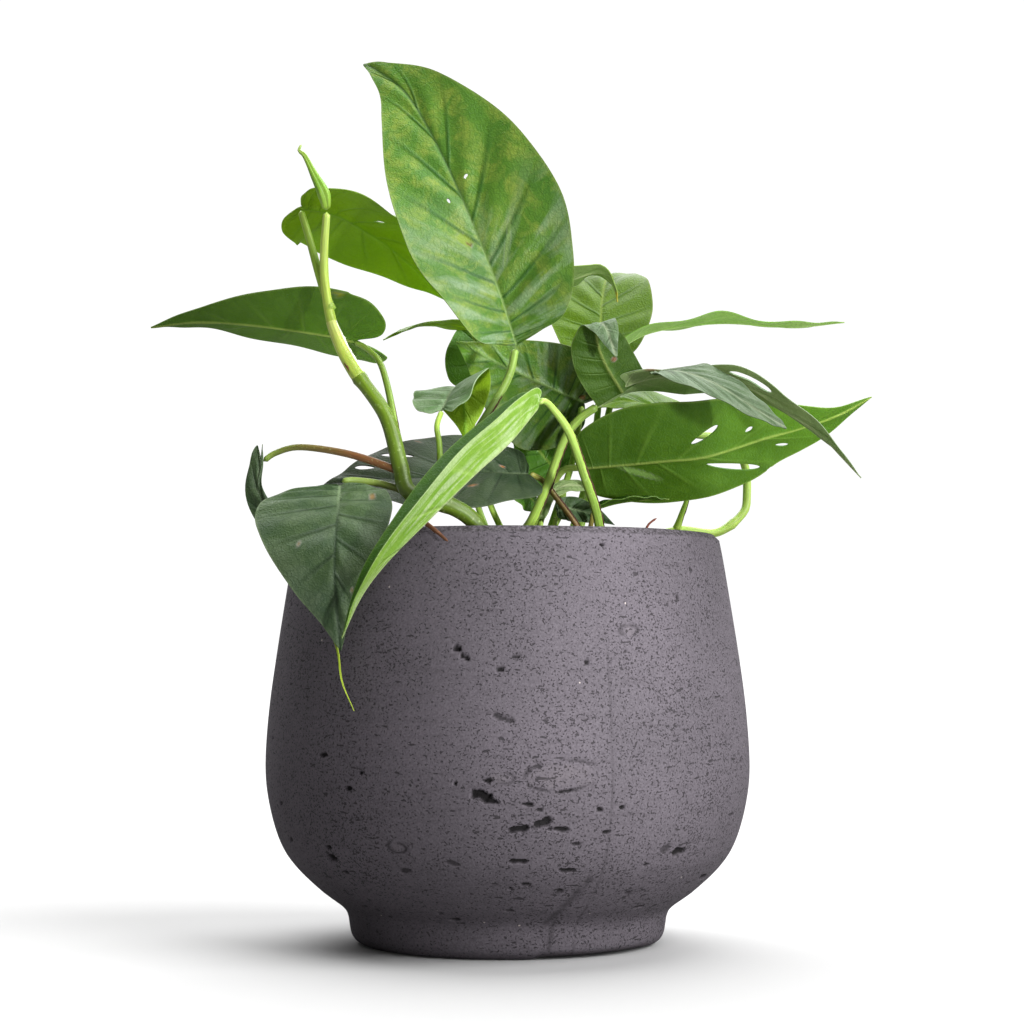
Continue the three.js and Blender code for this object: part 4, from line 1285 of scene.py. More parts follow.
    def sink(self, points: np.ndarray) -> tuple[np.ndarray, np.ndarray, np.ndarray]:
        """How deep the flaws make the outer wall.

        Args:
            points: The vertices, in millimetres.

        Returns:
            At each vertex, the depth in millimetres, the painted shade and how pale it is, both from 0 to 1.
        """
        rough = np.array([noise.noise(Vector(p) * 0.5) + 0.5 * noise.noise(Vector(p) * 1.7)
                          for p in points])
        broken = ease(-0.5, 0.0, np.array([noise.noise(Vector(p) * 0.23) for p in points]))
        depth = np.zeros(len(points))
        shade = np.zeros(len(points))
        pale = np.zeros(len(points))
        for flaw in self.all_flaws():
            x, z = self.places(points, flaw.bearing, flaw.height)
            near = (np.abs(x) < flaw.long * 1.7) & (np.abs(z) < flaw.long * 1.7)
            turn = math.radians(flaw.tilt)
            x_turned = x[near] * math.cos(turn) + z[near] * math.sin(turn)
            z_turned = z[near] * math.cos(turn) - x[near] * math.sin(turn)
            away = np.hypot(x_turned / flaw.long, z_turned / flaw.tall)
            if flaw.ring:
                off_line = (away + self.SCAR_WOBBLE * rough[near] - 1) * flaw.tall
                inside = np.exp(-(off_line / self.SCAR_WIDTH) ** 2) * broken[near]
                paler = ease(1.0, 0.2, away + 0.6 * rough[near]) * self.SCAR_PALENESS
                pale[near] = np.maximum(pale[near], paler)
            else:
                inside = ease(1.02, 0.72, away + self.RAGGED * rough[near])
            depth[near] = np.maximum(depth[near], flaw.deep * inside)
            # Painted shade: a pit is darker the deeper it is
            shade[near] = np.maximum(shade[near], inside * min(1.0, 0.25 + 0.75 * flaw.deep))
        for smear in self.smears:
            line = np.exp(-(self.beside(smear, points) / smear.width) ** 2) * (0.35 + 0.65 * broken)
            depth = np.maximum(depth, self.SMEAR_DEPTH * line)
            # Painted shade along the smear's shallow groove
            shade = np.maximum(shade, smear.strength * line)
        return depth, shade, pale

    def chipped(self, points: np.ndarray) -> np.ndarray:
        """How far the chip lifts the foot's lower edge.

        Args:
            points: The vertices, in millimetres.

        Returns:
            Heights in millimetres.
        """
        bearing = np.degrees(np.arctan2(points[:, 0], -points[:, 1]))
        low, high = self.CHIP_BEARINGS
        low_fade, high_fade = self.CHIP_FADES
        chip = (ease(low, low + low_fade, bearing) * ease(high, high - high_fade, bearing)
                * ease(self.CHIP_TOP, 0, points[:, 2]))
        return self.CHIP_HEIGHT * chip * (np.hypot(points[:, 0], points[:, 1]) > self.CHIP_RADIUS)

    def build(self) -> bpy.types.Object:
        """Makes the pot.

        Returns:
            The object.
        """
        bm = bmesh.new()
        verts = [bm.verts.new((r, 0, z)) for r, z in self.profile()]
        edges = [bm.edges.new(pair) for pair in zip(verts, verts[1:])]
        bmesh.ops.spin(bm, geom=verts + edges, cent=(0, 0, 0), axis=(0, 0, 1), angle=2 * math.pi,
                       steps=self.around, use_merge=True)
        bmesh.ops.remove_doubles(bm, verts=bm.verts[:], dist=1e-3)
        bmesh.ops.recalc_face_normals(bm, faces=bm.faces[:])
        self.refine(bm)
        bm.normal_update()
        points = np.array([v.co[:] for v in bm.verts])
        normals = np.array([v.normal[:] for v in bm.verts])
        outward = np.einsum("ij,ij->i", normals[:, :2], points[:, :2]) > 0
        outside = outward & (points[:, 2] > self.FOOT_EDGE)
        depth, shade, pale = self.sink(points)
        broad = np.array([noise.noise(Vector(p) * self.WARP_SCALE) for p in points])
        moved = points - normals * ((depth - self.WARP * broad) * outside)[:, None]
        moved[:, 2] += self.chipped(points)
        for vert, place in zip(bm.verts, moved):
            vert.co = place
        mesh = finish_mesh(bm, "concrete_pot", 60)
        # The pit attribute carries the painted shade of the pits, scars and smears
        write_attribute(mesh, "pit", "FLOAT", shade * outside)
        write_attribute(mesh, "pale", "FLOAT", pale * outside)
        return put_in_scene(mesh, [self.concrete()], self.node)

    @staticmethod
    def fine_pits(tree: Tree, place: Value) -> Node:
        """Pits of about 0.5, 1 and 2.5 mm, where a grain that is drawn out level rises above a limit.

        Args:
            tree: The concrete's node tree.
            place: The place on the pot, in metres.

        Returns:
            1 in the pits, and 0 elsewhere.
        """
        crowd = add(tree, "TexNoise", {"Vector": place, "Scale": 26.0, "Detail": 2.0})
        pits = None
        for grain_size, drawn_out, limit, soft in ((0.75, 1.1, 0.68, 0.06), (1.8, 1.8, 0.76, 0.03),
                                                   (4.5, 3.4, 0.78, 0.025)):
            level = add(tree, "VectorMath", {0: place, 1: (1.0, 1.0, drawn_out)}, operation="MULTIPLY")
            bumps = add(tree, "TexNoise", {"Vector": level, "Scale": 1000 / grain_size, "Detail": 1.5})
            raised = add(tree, "Math", {0: crowd, 1: 0.16, 2: bumps}, operation="MULTIPLY_ADD")
            inside = add(tree, "MapRange", {0: raised, 1: limit, 2: limit + soft})
            pits = inside if pits is None else add(tree, "Math", {0: pits, 1: inside}, operation="MAXIMUM")
        return pits

    @staticmethod
    def cement(tree: Tree, place: Value, sand: Node) -> Node:
        """The cement's colour: clouds over 45 mm, level smears, fine sand, and wear inside ring scars.

        Args:
            tree: The concrete's node tree.
            place: The place on the pot, in metres.
            sand: The noise of the sand.

        Returns:
            The colour.
        """
        cloud = add(tree, "TexNoise", {"Vector": place, "Scale": 22.0, "Detail": 4.0})
        cloudy = add(tree, "MapRange", {0: cloud, 1: 0.35, 2: 0.65})
        tone = add(tree, "Mix", {0: cloudy, 6: "514c52", 7: "5c565d"}, data_type="RGBA")
        level = add(tree, "VectorMath", {0: place, 1: (60.0, 60.0, 420.0)}, operation="MULTIPLY")
        smear = add(tree, "TexNoise", {"Vector": level, "Scale": 1.0, "Detail": 3.0})
        smeared = add(tree, "MapRange", {0: smear, 1: 0.52, 2: 0.72, 4: 0.4})
        tone = add(tree, "Mix", {0: smeared, 6: tone, 7: "413c41"}, data_type="RGBA")
        sandy = add(tree, "MapRange", {0: sand, 1: 0.35, 2: 0.68})
        speckled = add(tree, "Mix", {0: sandy, 6: "403b41", 7: "6a646b"}, data_type="RGBA")
        tone = add(tree, "Mix", {0: 0.35, 6: tone, 7: speckled}, data_type="RGBA")
        worn = add(tree, "Attribute", attribute_name="pale")
        return add(tree, "Mix", {0: (worn, "Fac"), 6: tone, 7: "6c6569"}, data_type="RGBA")

    @staticmethod
    def rim_grit(tree: Tree, place: Value) -> Node:
        """Where the chamfer at the rim, which is rougher, has darker grit.

        Args:
            tree: The concrete's node tree.
            place: The place on the pot, in metres.

        Returns:
            How much of it shows.
        """
        height = add(tree, "SeparateXYZ", {0: place})
        chamfer = (POT_HEIGHT - RIM_CHAMFER) * MM
        at_rim = add(tree, "MapRange", {0: (height, "Z"), 1: chamfer - 0.4 * MM, 2: chamfer + 0.2 * MM})
        grit = add(tree, "TexNoise", {"Vector": place, "Scale": 900.0, "Detail": 3.0})
        gritty = add(tree, "MapRange", {0: grit, 1: 0.42, 2: 0.6, 4: 0.75})
        return add(tree, "Math", {0: gritty, 1: at_rim}, operation="MULTIPLY")

    @staticmethod
    def sand_grains(tree: Tree, place: Value) -> Node:
        """A few pale grains of sand, each a bit over half a millimetre wide.

        Args:
            tree: The concrete's node tree.
            place: The place on the pot, in metres.

        Returns:
            1 on the grains, and 0 elsewhere.
        """
        cells = add(tree, "TexVoronoi", {"Vector": place, "Scale": 260.0})
        number = add(tree, "SeparateColor", {0: (cells, "Color")})
        chosen = add(tree, "Math", {0: number, 1: 0.035}, operation="LESS_THAN")
        spot = add(tree, "Math", {0: (cells, "Distance"), 1: 0.09}, operation="LESS_THAN")
        return add(tree, "Math", {0: chosen, 1: spot}, operation="MULTIPLY")

    def concrete(self) -> bpy.types.Material:
        """Cast fibre concrete, dyed charcoal and left unsealed.

        The cement skin is dull and faintly purple, with cloudy wear, pale grains of sand, and pinholes and
        flat air pits that lie level because the mix was poured and shaken in its mould. The pits, ring scars
        and smears are darkened with painted shade.

        Returns:
            The material.
        """
        material, tree = new_material("cast_charcoal_concrete")
        place = (add(tree, "TexCoord"), "Object")
        fine_pits = self.fine_pits(tree, place)
        # The fine pits get painted shade
        faint = add(tree, "Math", {0: fine_pits, 1: 0.72}, operation="MULTIPLY")
        painted_pit_shade = add(tree, "Attribute", attribute_name="pit")
        pits = add(tree, "Math", {0: faint, 1: (painted_pit_shade, "Fac")}, operation="MAXIMUM")
        sand = add(tree, "TexNoise", {"Vector": place, "Scale": 1500.0, "Detail": 2.0})
        tone = self.cement(tree, place, sand)
        tone = add(tree, "Mix", {0: self.rim_grit(tree, place), 6: tone, 7: "262225"}, data_type="RGBA")
        tone = add(tree, "Mix", {0: self.sand_grains(tree, place), 6: tone, 7: "a89e9a"}, data_type="RGBA")
        # Painted shade: pits, scars and smears darkened nearly to black
        tone = add(tree, "Mix", {0: pits, 6: tone, 7: "171416"}, data_type="RGBA")

        carved = add(tree, "Math", {0: fine_pits, 1: -1.0, 2: 1.0}, operation="MULTIPLY_ADD")
        height = add(tree, "Math", {0: sand, 1: 0.3, 2: carved}, operation="MULTIPLY_ADD")
        bump = add(tree, "Bump", {"Strength": 0.75, "Distance": 0.45 * MM, "Height": height})
        concrete = add(tree, "BsdfPrincipled", {"Base Color": tone, "Roughness": 0.82, "Normal": bump,
                                                "Specular IOR Level": 0.3})
        add(tree, "OutputMaterial", {"Surface": concrete})
        return material


# The soil


@dataclass
class PottingMix:
    """The soil's lumpy surface with crumbs of peat and bark, closed below inside the pot."""

    node: str = "soil"
    slot: str = "soil"
    radius: float = 67.9
    top: float = POT_HEIGHT - SOIL_BELOW_RIM
    skirt: float = 8.0
    rings: int = 60
    crumbs: int = 620
    seed: int = 11

    MOUND = 2.4
    LUMP = 1.3
    LUMP_SCALE = 0.22
    EDGE = 4.0

    # One crumb in five is a flake of bark. Sizes are half widths in millimetres
    FLAKE_SHARE = 0.2
    FLAKE_SIZES = (1.2, 2.6)
    CRUMB_SIZES = (0.5, 1.6)
    FLAKE_SHAPE = (1.5, 0.8, 0.35)
    CRUMB_SHAPE = (1.0, 0.85, 0.7)

    def height(self, x: float, y: float) -> float:
        """The surface's height at a place.

        Args:
            x: Across, in millimetres.
            y: Front to back, in millimetres.

        Returns:
            The height above the table in millimetres.
        """
        mound = self.MOUND * (1 - (math.hypot(x, y) / self.radius) ** 2)
        fine = noise.fractal(Vector((x, y, 0)) * self.LUMP_SCALE, 1.0, 2.0, 4)
        edge = min(1.0, (self.radius - math.hypot(x, y)) / self.EDGE)
        return self.top + mound + max(edge, 0) * self.LUMP * fine

    def build(self) -> bpy.types.Object:
        """Makes the soil.

        Returns:
            The object.
        """
        bm = bmesh.new()
        across = 2 * self.rings
        for vert in bmesh.ops.create_grid(bm, x_segments=across, y_segments=across, size=1.0)["verts"]:
            x, y = vert.co.x, vert.co.y
            vert.co.x = self.radius * x * math.sqrt(1 - y * y / 2)
            vert.co.y = self.radius * y * math.sqrt(1 - x * x / 2)
            vert.co.z = self.height(vert.co.x, vert.co.y)
        rim = [e for e in bm.edges if e.is_boundary]
        wall = bmesh.ops.extrude_edge_only(bm, edges=rim)["geom"]
        lower = [item for item in wall if isinstance(item, bmesh.types.BMVert)]
        for vert in lower:
            vert.co.z = self.top - self.skirt
        bmesh.ops.contextual_create(bm, geom=[e for e in bm.edges if e.is_boundary])
        bmesh.ops.recalc_face_normals(bm, faces=bm.faces[:])
        self.scatter(bm)
        mesh = finish_mesh(bm, "potting_mix", 40)
        return put_in_scene(mesh, [self.peat(), self.bark()], self.node)

    def scatter(self, bm: bmesh.types.BMesh) -> None:
        """Lays crumbs of peat and flakes of bark on the surface.

        Args:
            bm: The soil.
        """
        draw = random.Random(self.seed)
        # Vector noise starts from the clock unless its seed is set, and would shape the crumbs anew each run
        noise.seed_set(self.seed)
        for _ in range(self.crumbs):
            away = (self.radius - 3) * math.sqrt(draw.random())
            turn = draw.uniform(0, 2 * math.pi)
            x, y = away * math.cos(turn), away * math.sin(turn)
            flake = draw.random() < self.FLAKE_SHARE
            size = draw.uniform(*(self.FLAKE_SIZES if flake else self.CRUMB_SIZES))
            shape = self.FLAKE_SHAPE if flake else self.CRUMB_SHAPE
            matrix = (Matrix.Translation((x, y, self.height(x, y) + size * 0.2))
                      @ Matrix.Rotation(draw.uniform(0, 6.3), 4, "Z")
                      @ Matrix.Rotation(draw.uniform(-0.5, 0.5), 4, "X")
                      @ Matrix.Diagonal((*(s * size for s in shape), 1)))
            made = bmesh.ops.create_icosphere(bm, subdivisions=1, radius=1.0, matrix=matrix)["verts"]
            for vert in made:
                vert.co += noise.noise_vector(vert.co * 1.7) * size * 0.3
            for face in {f for v in made for f in v.link_faces}:
                face.material_index = int(flake)

    @staticmethod
    def peat() -> bpy.types.Material:
        """Moist peat: nearly black-brown crumbs with lighter fibres, quite dull.

        Returns:
            The material.
        """
        material, tree = new_material("moist_peat")
        where = add(tree, "TexCoord")
        crumb = add(tree, "TexNoise", {"Vector": (where, "Object"), "Scale": 300.0, "Detail": 6.0,
                                       "Roughness": 0.7})
        mask = add(tree, "MapRange", {0: crumb, 1: 0.3, 2: 0.72})
        tone = add(tree, "Mix", {0: mask, 6: "1f1611", 7: "523d2c"}, data_type="RGBA")
        fibre = add(tree, "TexNoise", {"Vector": (where, "Object"), "Scale": 900.0, "Detail": 2.0})
        fibre_mask = add(tree, "MapRange", {0: fibre, 1: 0.66, 2: 0.74, 4: 0.6})
        tone = add(tree, "Mix", {0: fibre_mask, 6: tone, 7: "7b6246"}, data_type="RGBA")
        bump = add(tree, "Bump", {"Strength": 0.8, "Distance": 0.8 * MM, "Height": crumb})
        skin = add(tree, "BsdfPrincipled", {"Base Color": tone, "Roughness": 0.92, "Normal": bump})
        add(tree, "OutputMaterial", {"Surface": skin})
        return material

    @staticmethod
    def bark() -> bpy.types.Material:
        """Composted pine bark: reddish brown flakes with darker layers.

        Returns:
            The material.
        """
        material, tree = new_material("composted_bark")
        where = add(tree, "TexCoord")
        layer = add(tree, "TexNoise", {"Vector": (where, "Object"), "Scale": 500.0, "Detail": 5.0})
        mask = add(tree, "MapRange", {0: layer, 1: 0.35, 2: 0.65})
        tone = add(tree, "Mix", {0: mask, 6: "3a2418", 7: "6d4a31"}, data_type="RGBA")
        bump = add(tree, "Bump", {"Strength": 0.6, "Distance": 0.4 * MM, "Height": layer})
        skin = add(tree, "BsdfPrincipled", {"Base Color": tone, "Roughness": 0.8, "Normal": bump})
        add(tree, "OutputMaterial", {"Surface": skin})
        return material


# The plant's own pieces

# Colours of the small dead spots on the leaves
BROWN = "6e4426"
PINK_BROWN = "a0705c"
TAN = "9c7a4c"
RUST = "b4713a"


def leaves() -> list[Blade]:
    """The leaf blades, each named for where it stands.

    Returns:
        The blades.
    """
    look = LeafLook
    # Each blade's tone is painted light and shade along its midrib, set leaf by leaf
    return [
        Blade(
            "leaf_tall_front",
            spine=((3, -36, 206), (-5, -39, 230), (-20, -34, 267), (-34, -24, 294), (-45, -17, 305),
                   (-51, -12, 309)),
            face=((0.1, -0.93, 0.35), (-0.1, -0.92, 0.35), (-0.2, -0.9, 0.35)),
            plus=Half(32, (30, 14, 6, 4), (6, 6, 10)), minus=Half(26, (30, 14, 6, 4), (6, 6, 4)),
            belly=0.34, lobe=-0.6, wave=(0.8, 3, 0.6), rows=96, columns=26, veins=9, quilt=0.8,
            upper=look.MOTTLED, under=look.UNDER_BRIGHT,
            holes=(Hole(0.49, 0.13, (2, 1.3), 60), Hole(0.44, -0.2, (2, 1.3))),
            marks=(Mark(0.305, -0.16, (2.8, 1.6), BROWN, 40), Mark(0.32, -0.2, (6, 4.5), "9fb23c", 40, 0.5),
                   Mark(0.275, 0.28, (19, 1.6), "9dbb70", 28, 0.6)),
            tone=(0.68, 0.78, 0.95, 1.0, 1.0),
        ),
        Blade(
            "leaf_upper_left",
            spine=((-71, -30, 255), (-60, -22, 254), (-51, -8, 251), (-40, 4, 245), (-21, 18, 229)),
            face=((0.1, 0.65, 0.75), (0.1, 0.65, 0.75)),
            plus=Half(19, (10, 6), (-60, -20)), minus=Half(22), belly=0.3, lobe=0.5, slot="bright_leaf",
            upper=look.BRIGHT, under=look.UNDER_BRIGHT, holes=(Hole(0.405, 0.38, (5.5, 1.5), 25),),
            tone=(1.0, 1.3),
            seed=1,
        ),
        Blade(
            "leaf_left",
            spine=((-55, -12, 211), (-63, -11, 213), (-90, -8, 217), (-110, -8, 218), (-126, -8, 216)),
            face=((-0.05, 0.6, 0.8), (-0.05, 0.6, 0.8)),
            plus=Half(16, (19, 19)), minus=Half(22),
            outline=((-0.03, 0.03), (-0.16, 0.3), (-0.16, 0.7), (-0.06, 0.97), (0.12, 1.04), (0.4, 0.82),
                     (0.66, 0.45), (0.86, 0.17), (1, 0.012)),
            marks=(Mark(0.06, -0.96, (3, 2.4), "c9c23e", 0, 0.8),), tone=(1.45, 1.2, 0.9, 0.85), seed=2,
        ),
        Blade(
            "leaf_back_slim",
            spine=((-3, 25, 219), (-25, 18, 221), (-35, 14, 219), (-45, 10, 214)),
            face=((0.05, 0, 1), (0, 0, 1)), plus=Half(11), minus=Half(11), belly=0.35, lobe=0.5, rows=48,
            slot="bright_leaf", upper=look.BRIGHT, under=look.UNDER_BRIGHT, seed=3,
        ),
        Blade(
            "leaf_round_back",
            spine=((33, 24, 212), (34, 28, 220), (35, 36, 232), (37, 46, 242), (39, 60, 245),
                   (40, 72, 243)),
            face=((0, -0.9, 0.4), (0, -0.8, 0.6), (0, -0.5, 0.9), (0, 0, 1), (0, 0.2, 1)),
            plus=Half(19), minus=Half(20), belly=0.34, lobe=0.7, slot="bright_leaf", quilt=0.6,
            upper=look.BRIGHT, under=look.UNDER_BRIGHT, tone=(0.7, 0.7), seed=4,
            marks=(Mark(0.07, 0.48, (2.4, 1.8), BROWN), Mark(0.125, 0.72, (1.8, 1.4), BROWN)),
        ),
        Blade(
            "leaf_tip_behind",
            spine=((-1, 2, 226), (11, -3, 230), (24, -6, 234), (31.5, -5.6, 236), (36, -5.8, 233.5),
                   (38.2, -6.8, 229.5), (39, -8, 225)),
            face=((0, 0.1, 1), (0, 0.2, 1), (0, 0.25, 1), (0.6, 0.2, 0.75), (0.95, 0.1, 0.28)),
            plus=Half(10, (8, 8)), minus=Half(10, (8, 8)), lobe=0.6, rows=48,
            upper=look.BRIGHT, under=look.UNDER_PALE, marks=(Mark(0.97, 0.0, (5, 4), "d7c23c", 0, 0.8),),
            seed=5,
        ),
        Blade(
            "leaf_far_right",
            spine=((38, 8, 210), (52, 8, 217), (76, 8, 220), (101, 4, 218), (120, 0, 219)),
            face=((0.05, -0.03, 1), (0.05, -0.03, 1)),
            plus=Half(16, (4, 4)), minus=Half(16, (4, 4)), belly=0.36, lobe=0.3, wave=(1.2, 2.5, 0.4),
            upper=look.DEEP, under=look.UNDER_PALE, tone=(1.8, 1.8), seed=6,
        ),
        Blade(
            "leaf_lobed",
            spine=((32, -13, 188), (38, -16, 193), (46, -20, 196), (53, -23.5, 197), (66, -30, 197),
                   (81, -38, 192), (94, -42, 183), (106, -45, 174), (119, -46, 160)),
            face=((-0.2, 0.35, 0.91), (0, 0.3, 0.95), (0.5, 0, 0.8), (0.8, 0, 0.5)),
            plus=Half(10, (35, 35), share=(0.3, 0.5, 0.25, 0.3, 0.8, 1, 1, 1, 1)),
            minus=Half(20, share=(0.15, 0.5, 0.9, 1, 0.9, 0.7, 0.6, 0.6, 0.6)),
            belly=0.3, lobe=0, rows=96, veins=12, upper=look.PALE_BLUE, under=look.UNDER_PALE,
            marks=(Mark(0.215, 0.9, (5, 3), PINK_BROWN, 0, 0.7),),
            holes=(Hole(0.5475, 0.44, (15.5, 3.2), -5),), seed=7,
            flaps=(
                Blade(
                    "leaf_lobed_curled",
                    spine=((40, -17, 192), (34, -22, 201), (31, -26, 208), (30.5, -29, 212.5),
                           (31.5, -32, 214.3), (33.5, -35.2, 212.3), (35.2, -36.6, 207.5), (37, -37, 202)),
                    face=((-0.1, 0.9, 0.4), (-0.15, 0.85, 0.45), (-0.2, 0.77, 0.54), (-0.25, 0.35, 0.85),
                          (-0.2, -0.8, 0.5), (-0.2, -0.9, 0.35)),
                    plus=Half(10), minus=Half(10), rows=60, columns=14, sweep=1.2, upper=look.PALE_BLUE,
                    outline=((0, 1), (0.25, 1.05), (0.45, 0.95), (0.62, 0.6), (0.82, 0.35), (1, 0.04)),
                    tone=(0.65, 0.65), marks=(Mark(0.275, -0.34, (2.2, 1.8), PINK_BROWN),), seed=8,
                ),
                Blade(
                    "leaf_lobed_pale",
                    spine=((51, -24, 198), (59, -36, 197), (70, -44, 192), (81, -50, 184), (93, -53, 176)),
                    face=((0.1, -0.4, 0.85), (0.3, -0.8, 0.6), (0.4, -0.8, 0.5), (0.4, -0.8, 0.5)),
                    plus=Half(7), minus=Half(8), rows=48, columns=12, upper=look.PALE_BLUE,
                    outline=((0, 0.35), (0.2, 1), (0.55, 0.95), (0.85, 0.5), (1, 0.04)), tone=(0.65, 0.55),
                    seed=9,
                ),
            ),
        ),
        Blade(
            "leaf_right",
            spine=((27, 0, 167), (42, -3, 168), (55, -6, 169), (68, -8, 170), (79, -8, 173), (91, -8, 177),
                   (102, -7, 180), (116, -5, 185), (129, -2, 192)),
            face=((0, 0.75, 0.66), (0, 0.75, 0.66)),
            plus=Half(24, (4, 4), share=(1, 1, 1, 1, 0.9, 0.6, 0.45)), minus=Half(20, (4, 4)),
            belly=0.3, lobe=0.2, rows=96, columns=24, tone=(0.8, 1.2, 1.65, 1.9, 1.6), seed=10,
            marks=(Mark(0.175, -0.215, (17, 2.6), "9ac06c", 32, 0.9), Mark(0.94, -0.14, (2.4, 1.8), BROWN)),
            holes=(Hole(0.415, 0.365, (12, 3), 25), Hole(0.565, 0.24, (3, 1.8), 25),
                   Hole(0.665, -0.26, (5, 1.8), 15), Hole(0.4875, -0.395, (20, 3.4), 26)),
        ),
        Blade(
            "leaf_folded",
            spine=((9, -47, 183), (0, -57, 171), (-11, -66, 160), (-26, -77, 144), (-39, -83, 130),
                   (-47, -84, 119), (-53, -83, 106)),
            face=((-0.7, -0.1, 0.7), (-0.8, -0.15, 0.55), (-0.9, -0.2, 0.3)),
            plus=Half(13, (70, 65, 58)), minus=Half(11, (55, 45)), belly=0.3, lobe=0.8, sweep=1.9,
            slot="bright_leaf", upper=look.DEEP, under=look.STREAKED, quilt=0.2, ripple=0.2, seed=11,
        ),
        Blade(
            "leaf_hanging",
            spine=((-56, -50, 157), (-56, -62, 145), (-56, -71, 126), (-54, -71, 102)),
            face=((-0.05, -0.75, 0.66), (-0.1, -1, 0.05)),
            plus=Half(28, curl=(-10, 0)), minus=Half(18, curl=(-10, 0)), belly=0.2, lobe=0.2,
            slot="blue_leaf", upper=look.BLUE, under=look.UNDER_PALE, quilt=0.7, tone=(1.1, 0.78, 0.75),
            marks=(Mark(0.1, -0.62, (2.4, 1.8), TAN, 0, 0.8), Mark(0.425, 0.42, (1.6, 1.2), TAN, 0, 0.7),
                   Mark(0.69, -0.3, (1.4, 1.2), TAN, 0, 0.7)),
            seed=12,
        ),
        Blade(
            "leaf_far_left",
            spine=((-84, -36, 166), (-84, -40, 156), (-77, -46, 143), (-68, -54, 128), (-60, -62, 114),
                   (-55.4, -68.5, 102), (-53.6, -72, 92), (-49.5, -73.5, 82.5)),
            face=((-0.35, -0.93, 0.1), (-0.35, -0.93, 0.1)),
            plus=Half(5.5), minus=Half(7, share=(0.15, 0.3, 0.8, 1, 1, 1, 1)),
            belly=0.27, lobe=1.3, drip=0.25, sweep=1.6, slot="blue_leaf", upper=look.BLUE,
            under=look.UNDER_PALE, columns=12, tone=(0.75, 0.75), seed=13,
            marks=(Mark(0.93, 0.0, (34, 12), "b4cc3c", 0, 0.95),),
        ),
        Blade(
            "leaf_middle_left",
            spine=((7, -8, 164), (-10, -14, 164), (-27, -19, 162), (-46, -24, 161), (-63, -28, 159)),
            face=((0, -0.6, 0.8), (0, -0.6, 0.8)),
            plus=Half(24, (4, 4)), minus=Half(24, (4, 4)), belly=0.4, lobe=0.4, slot="blue_leaf",
            upper=look.BLUE, under=look.UNDER_PALE, tone=(0.48, 0.38), seed=14,
            holes=(Hole(0.785, 0.29, (7, 3), 8), Hole(0.61, 0.57, (12, 3.2), 5)),
            marks=(Mark(0.315, -0.37, (2.8, 1.8), RUST), Mark(0.475, 0.93, (2.4, 1.8), RUST),
                   Mark(0.115, 0.16, (1.8, 1.4), RUST)),
        ),
        Blade(
            "leaf_small_curled",
            spine=((-22, -32, 185), (-19, -26, 192), (-17, -19, 193), (-15, -14, 186), (-15, -12, 176)),
            face=((-0.35, -0.5, 0.8), (-0.2, 0.2, 0.95), (0, 0.8, 0.5), (0, 1, 0)),
            plus=Half(14, (10, 10)), minus=Half(15, (10, 10)), lobe=1.2, rows=56,
            upper=look.PALE_BLUE, under=look.UNDER_BRIGHT, tone=(1.2, 1.2), seed=15,
        ),
        Blade(
            "leaf_olive",
            spine=((-7, 40, 204), (-11, 38, 212), (-13, 36, 219), (-14, 34, 227)),
            face=((0, -0.9, 0.3), (0, -0.9, 0.3)), plus=Half(14), minus=Half(14), rows=48,
            upper=look.DEEP, under=look.UNDER_DEEP, seed=16,
        ),
        Blade(
            "leaf_centre",
            spine=((27, -2, 190), (13, -6, 196), (-3, -10, 203), (-18, -14, 210)),
            face=((0.1, 0.88, 0.45), (0.1, 0.88, 0.45)),
            plus=Half(26), minus=Half(17), belly=0.25, lobe=1.2, slot="bright_leaf", quilt=0.9,
            upper=look.BRIGHT, under=look.MOTTLED, tone=(0.4, 0.5, 0.85, 1.1), seed=17,
            marks=(Mark(0.03, -0.1, (2.4, 1.8), BROWN),),
        ),
        Blade(
            "leaf_under",
            spine=((19, 12, 165), (13, 14, 172), (7, 14, 179), (0, 12, 184)),
            face=((-0.5, -0.7, 0.5), (-0.5, -0.7, 0.5)), plus=Half(13), minus=Half(13), lobe=0.3, rows=48,
            upper=look.DEEP, under=look.UNDER_DEEP, seed=18,
        ),
        Blade(
            "leaf_behind_right",
            spine=((65, 14, 182), (55, 13, 189), (42, 12, 192), (30, 10, 189)),
            face=((0, -0.5, 0.9), (0, -0.5, 0.9)), plus=Half(14), minus=Half(14), rows=48,
            slot="bright_leaf", upper=look.BRIGHT, under=look.UNDER_BRIGHT, seed=19,
        ),
        Blade(
            "leaf_low_left",
            spine=((10.5, 8.5, 154.5), (6, 7, 158), (0, 5, 161), (-6, 3, 162)),
            face=((0, -0.6, 0.8), (0, -0.6, 0.8)), plus=Half(5), minus=Half(8), lobe=0.3, rows=40,
            columns=12,
            upper=look.DEEP, seed=20,
        ),
        Blade(
            "leaf_low_pale",
            spine=((12, 4, 149), (13, 4, 154), (15.5, 5, 158), (19.5, 7, 160.6), (25, 9, 161.2),
                   (33, 11, 159)),
            face=((-0.6, -0.6, 0.3), (-0.4, -0.8, 0.5), (0, -0.8, 0.5)),
            plus=Half(3.5), minus=Half(3.5), belly=0.42, lobe=0, rows=40, columns=10, slot="bright_leaf",
            upper=look.UNDER_PALE, under=look.UNDER_BRIGHT, seed=21,
        ),
        Blade(
            "leaf_low_right",
            spine=((17.5, 3, 151.5), (21.5, 3, 152.5), (27.5, 2, 151.2), (33, 1, 149.2), (38, 0, 146.5)),
            face=((0, -1, 0.1), (0, -1, 0.1)), plus=Half(4.5), minus=Half(4.5), lobe=0.2, rows=40,
            columns=10,
            upper=look.BLUE, seed=22,
        ),
        Blade(
            "leaf_low_slim",
            spine=((31, -5, 152.5), (39, -5, 154.5), (49, -5, 155.5), (57, -5, 155.5)),
            face=((0, -0.1, 1), (0, -0.1, 1)), plus=Half(6, (12, 12)), minus=Half(6, (12, 12)), rows=40,
            columns=12, belly=0.35, upper=look.DEEP, under=look.UNDER_DEEP, seed=23,
        ),
    ]


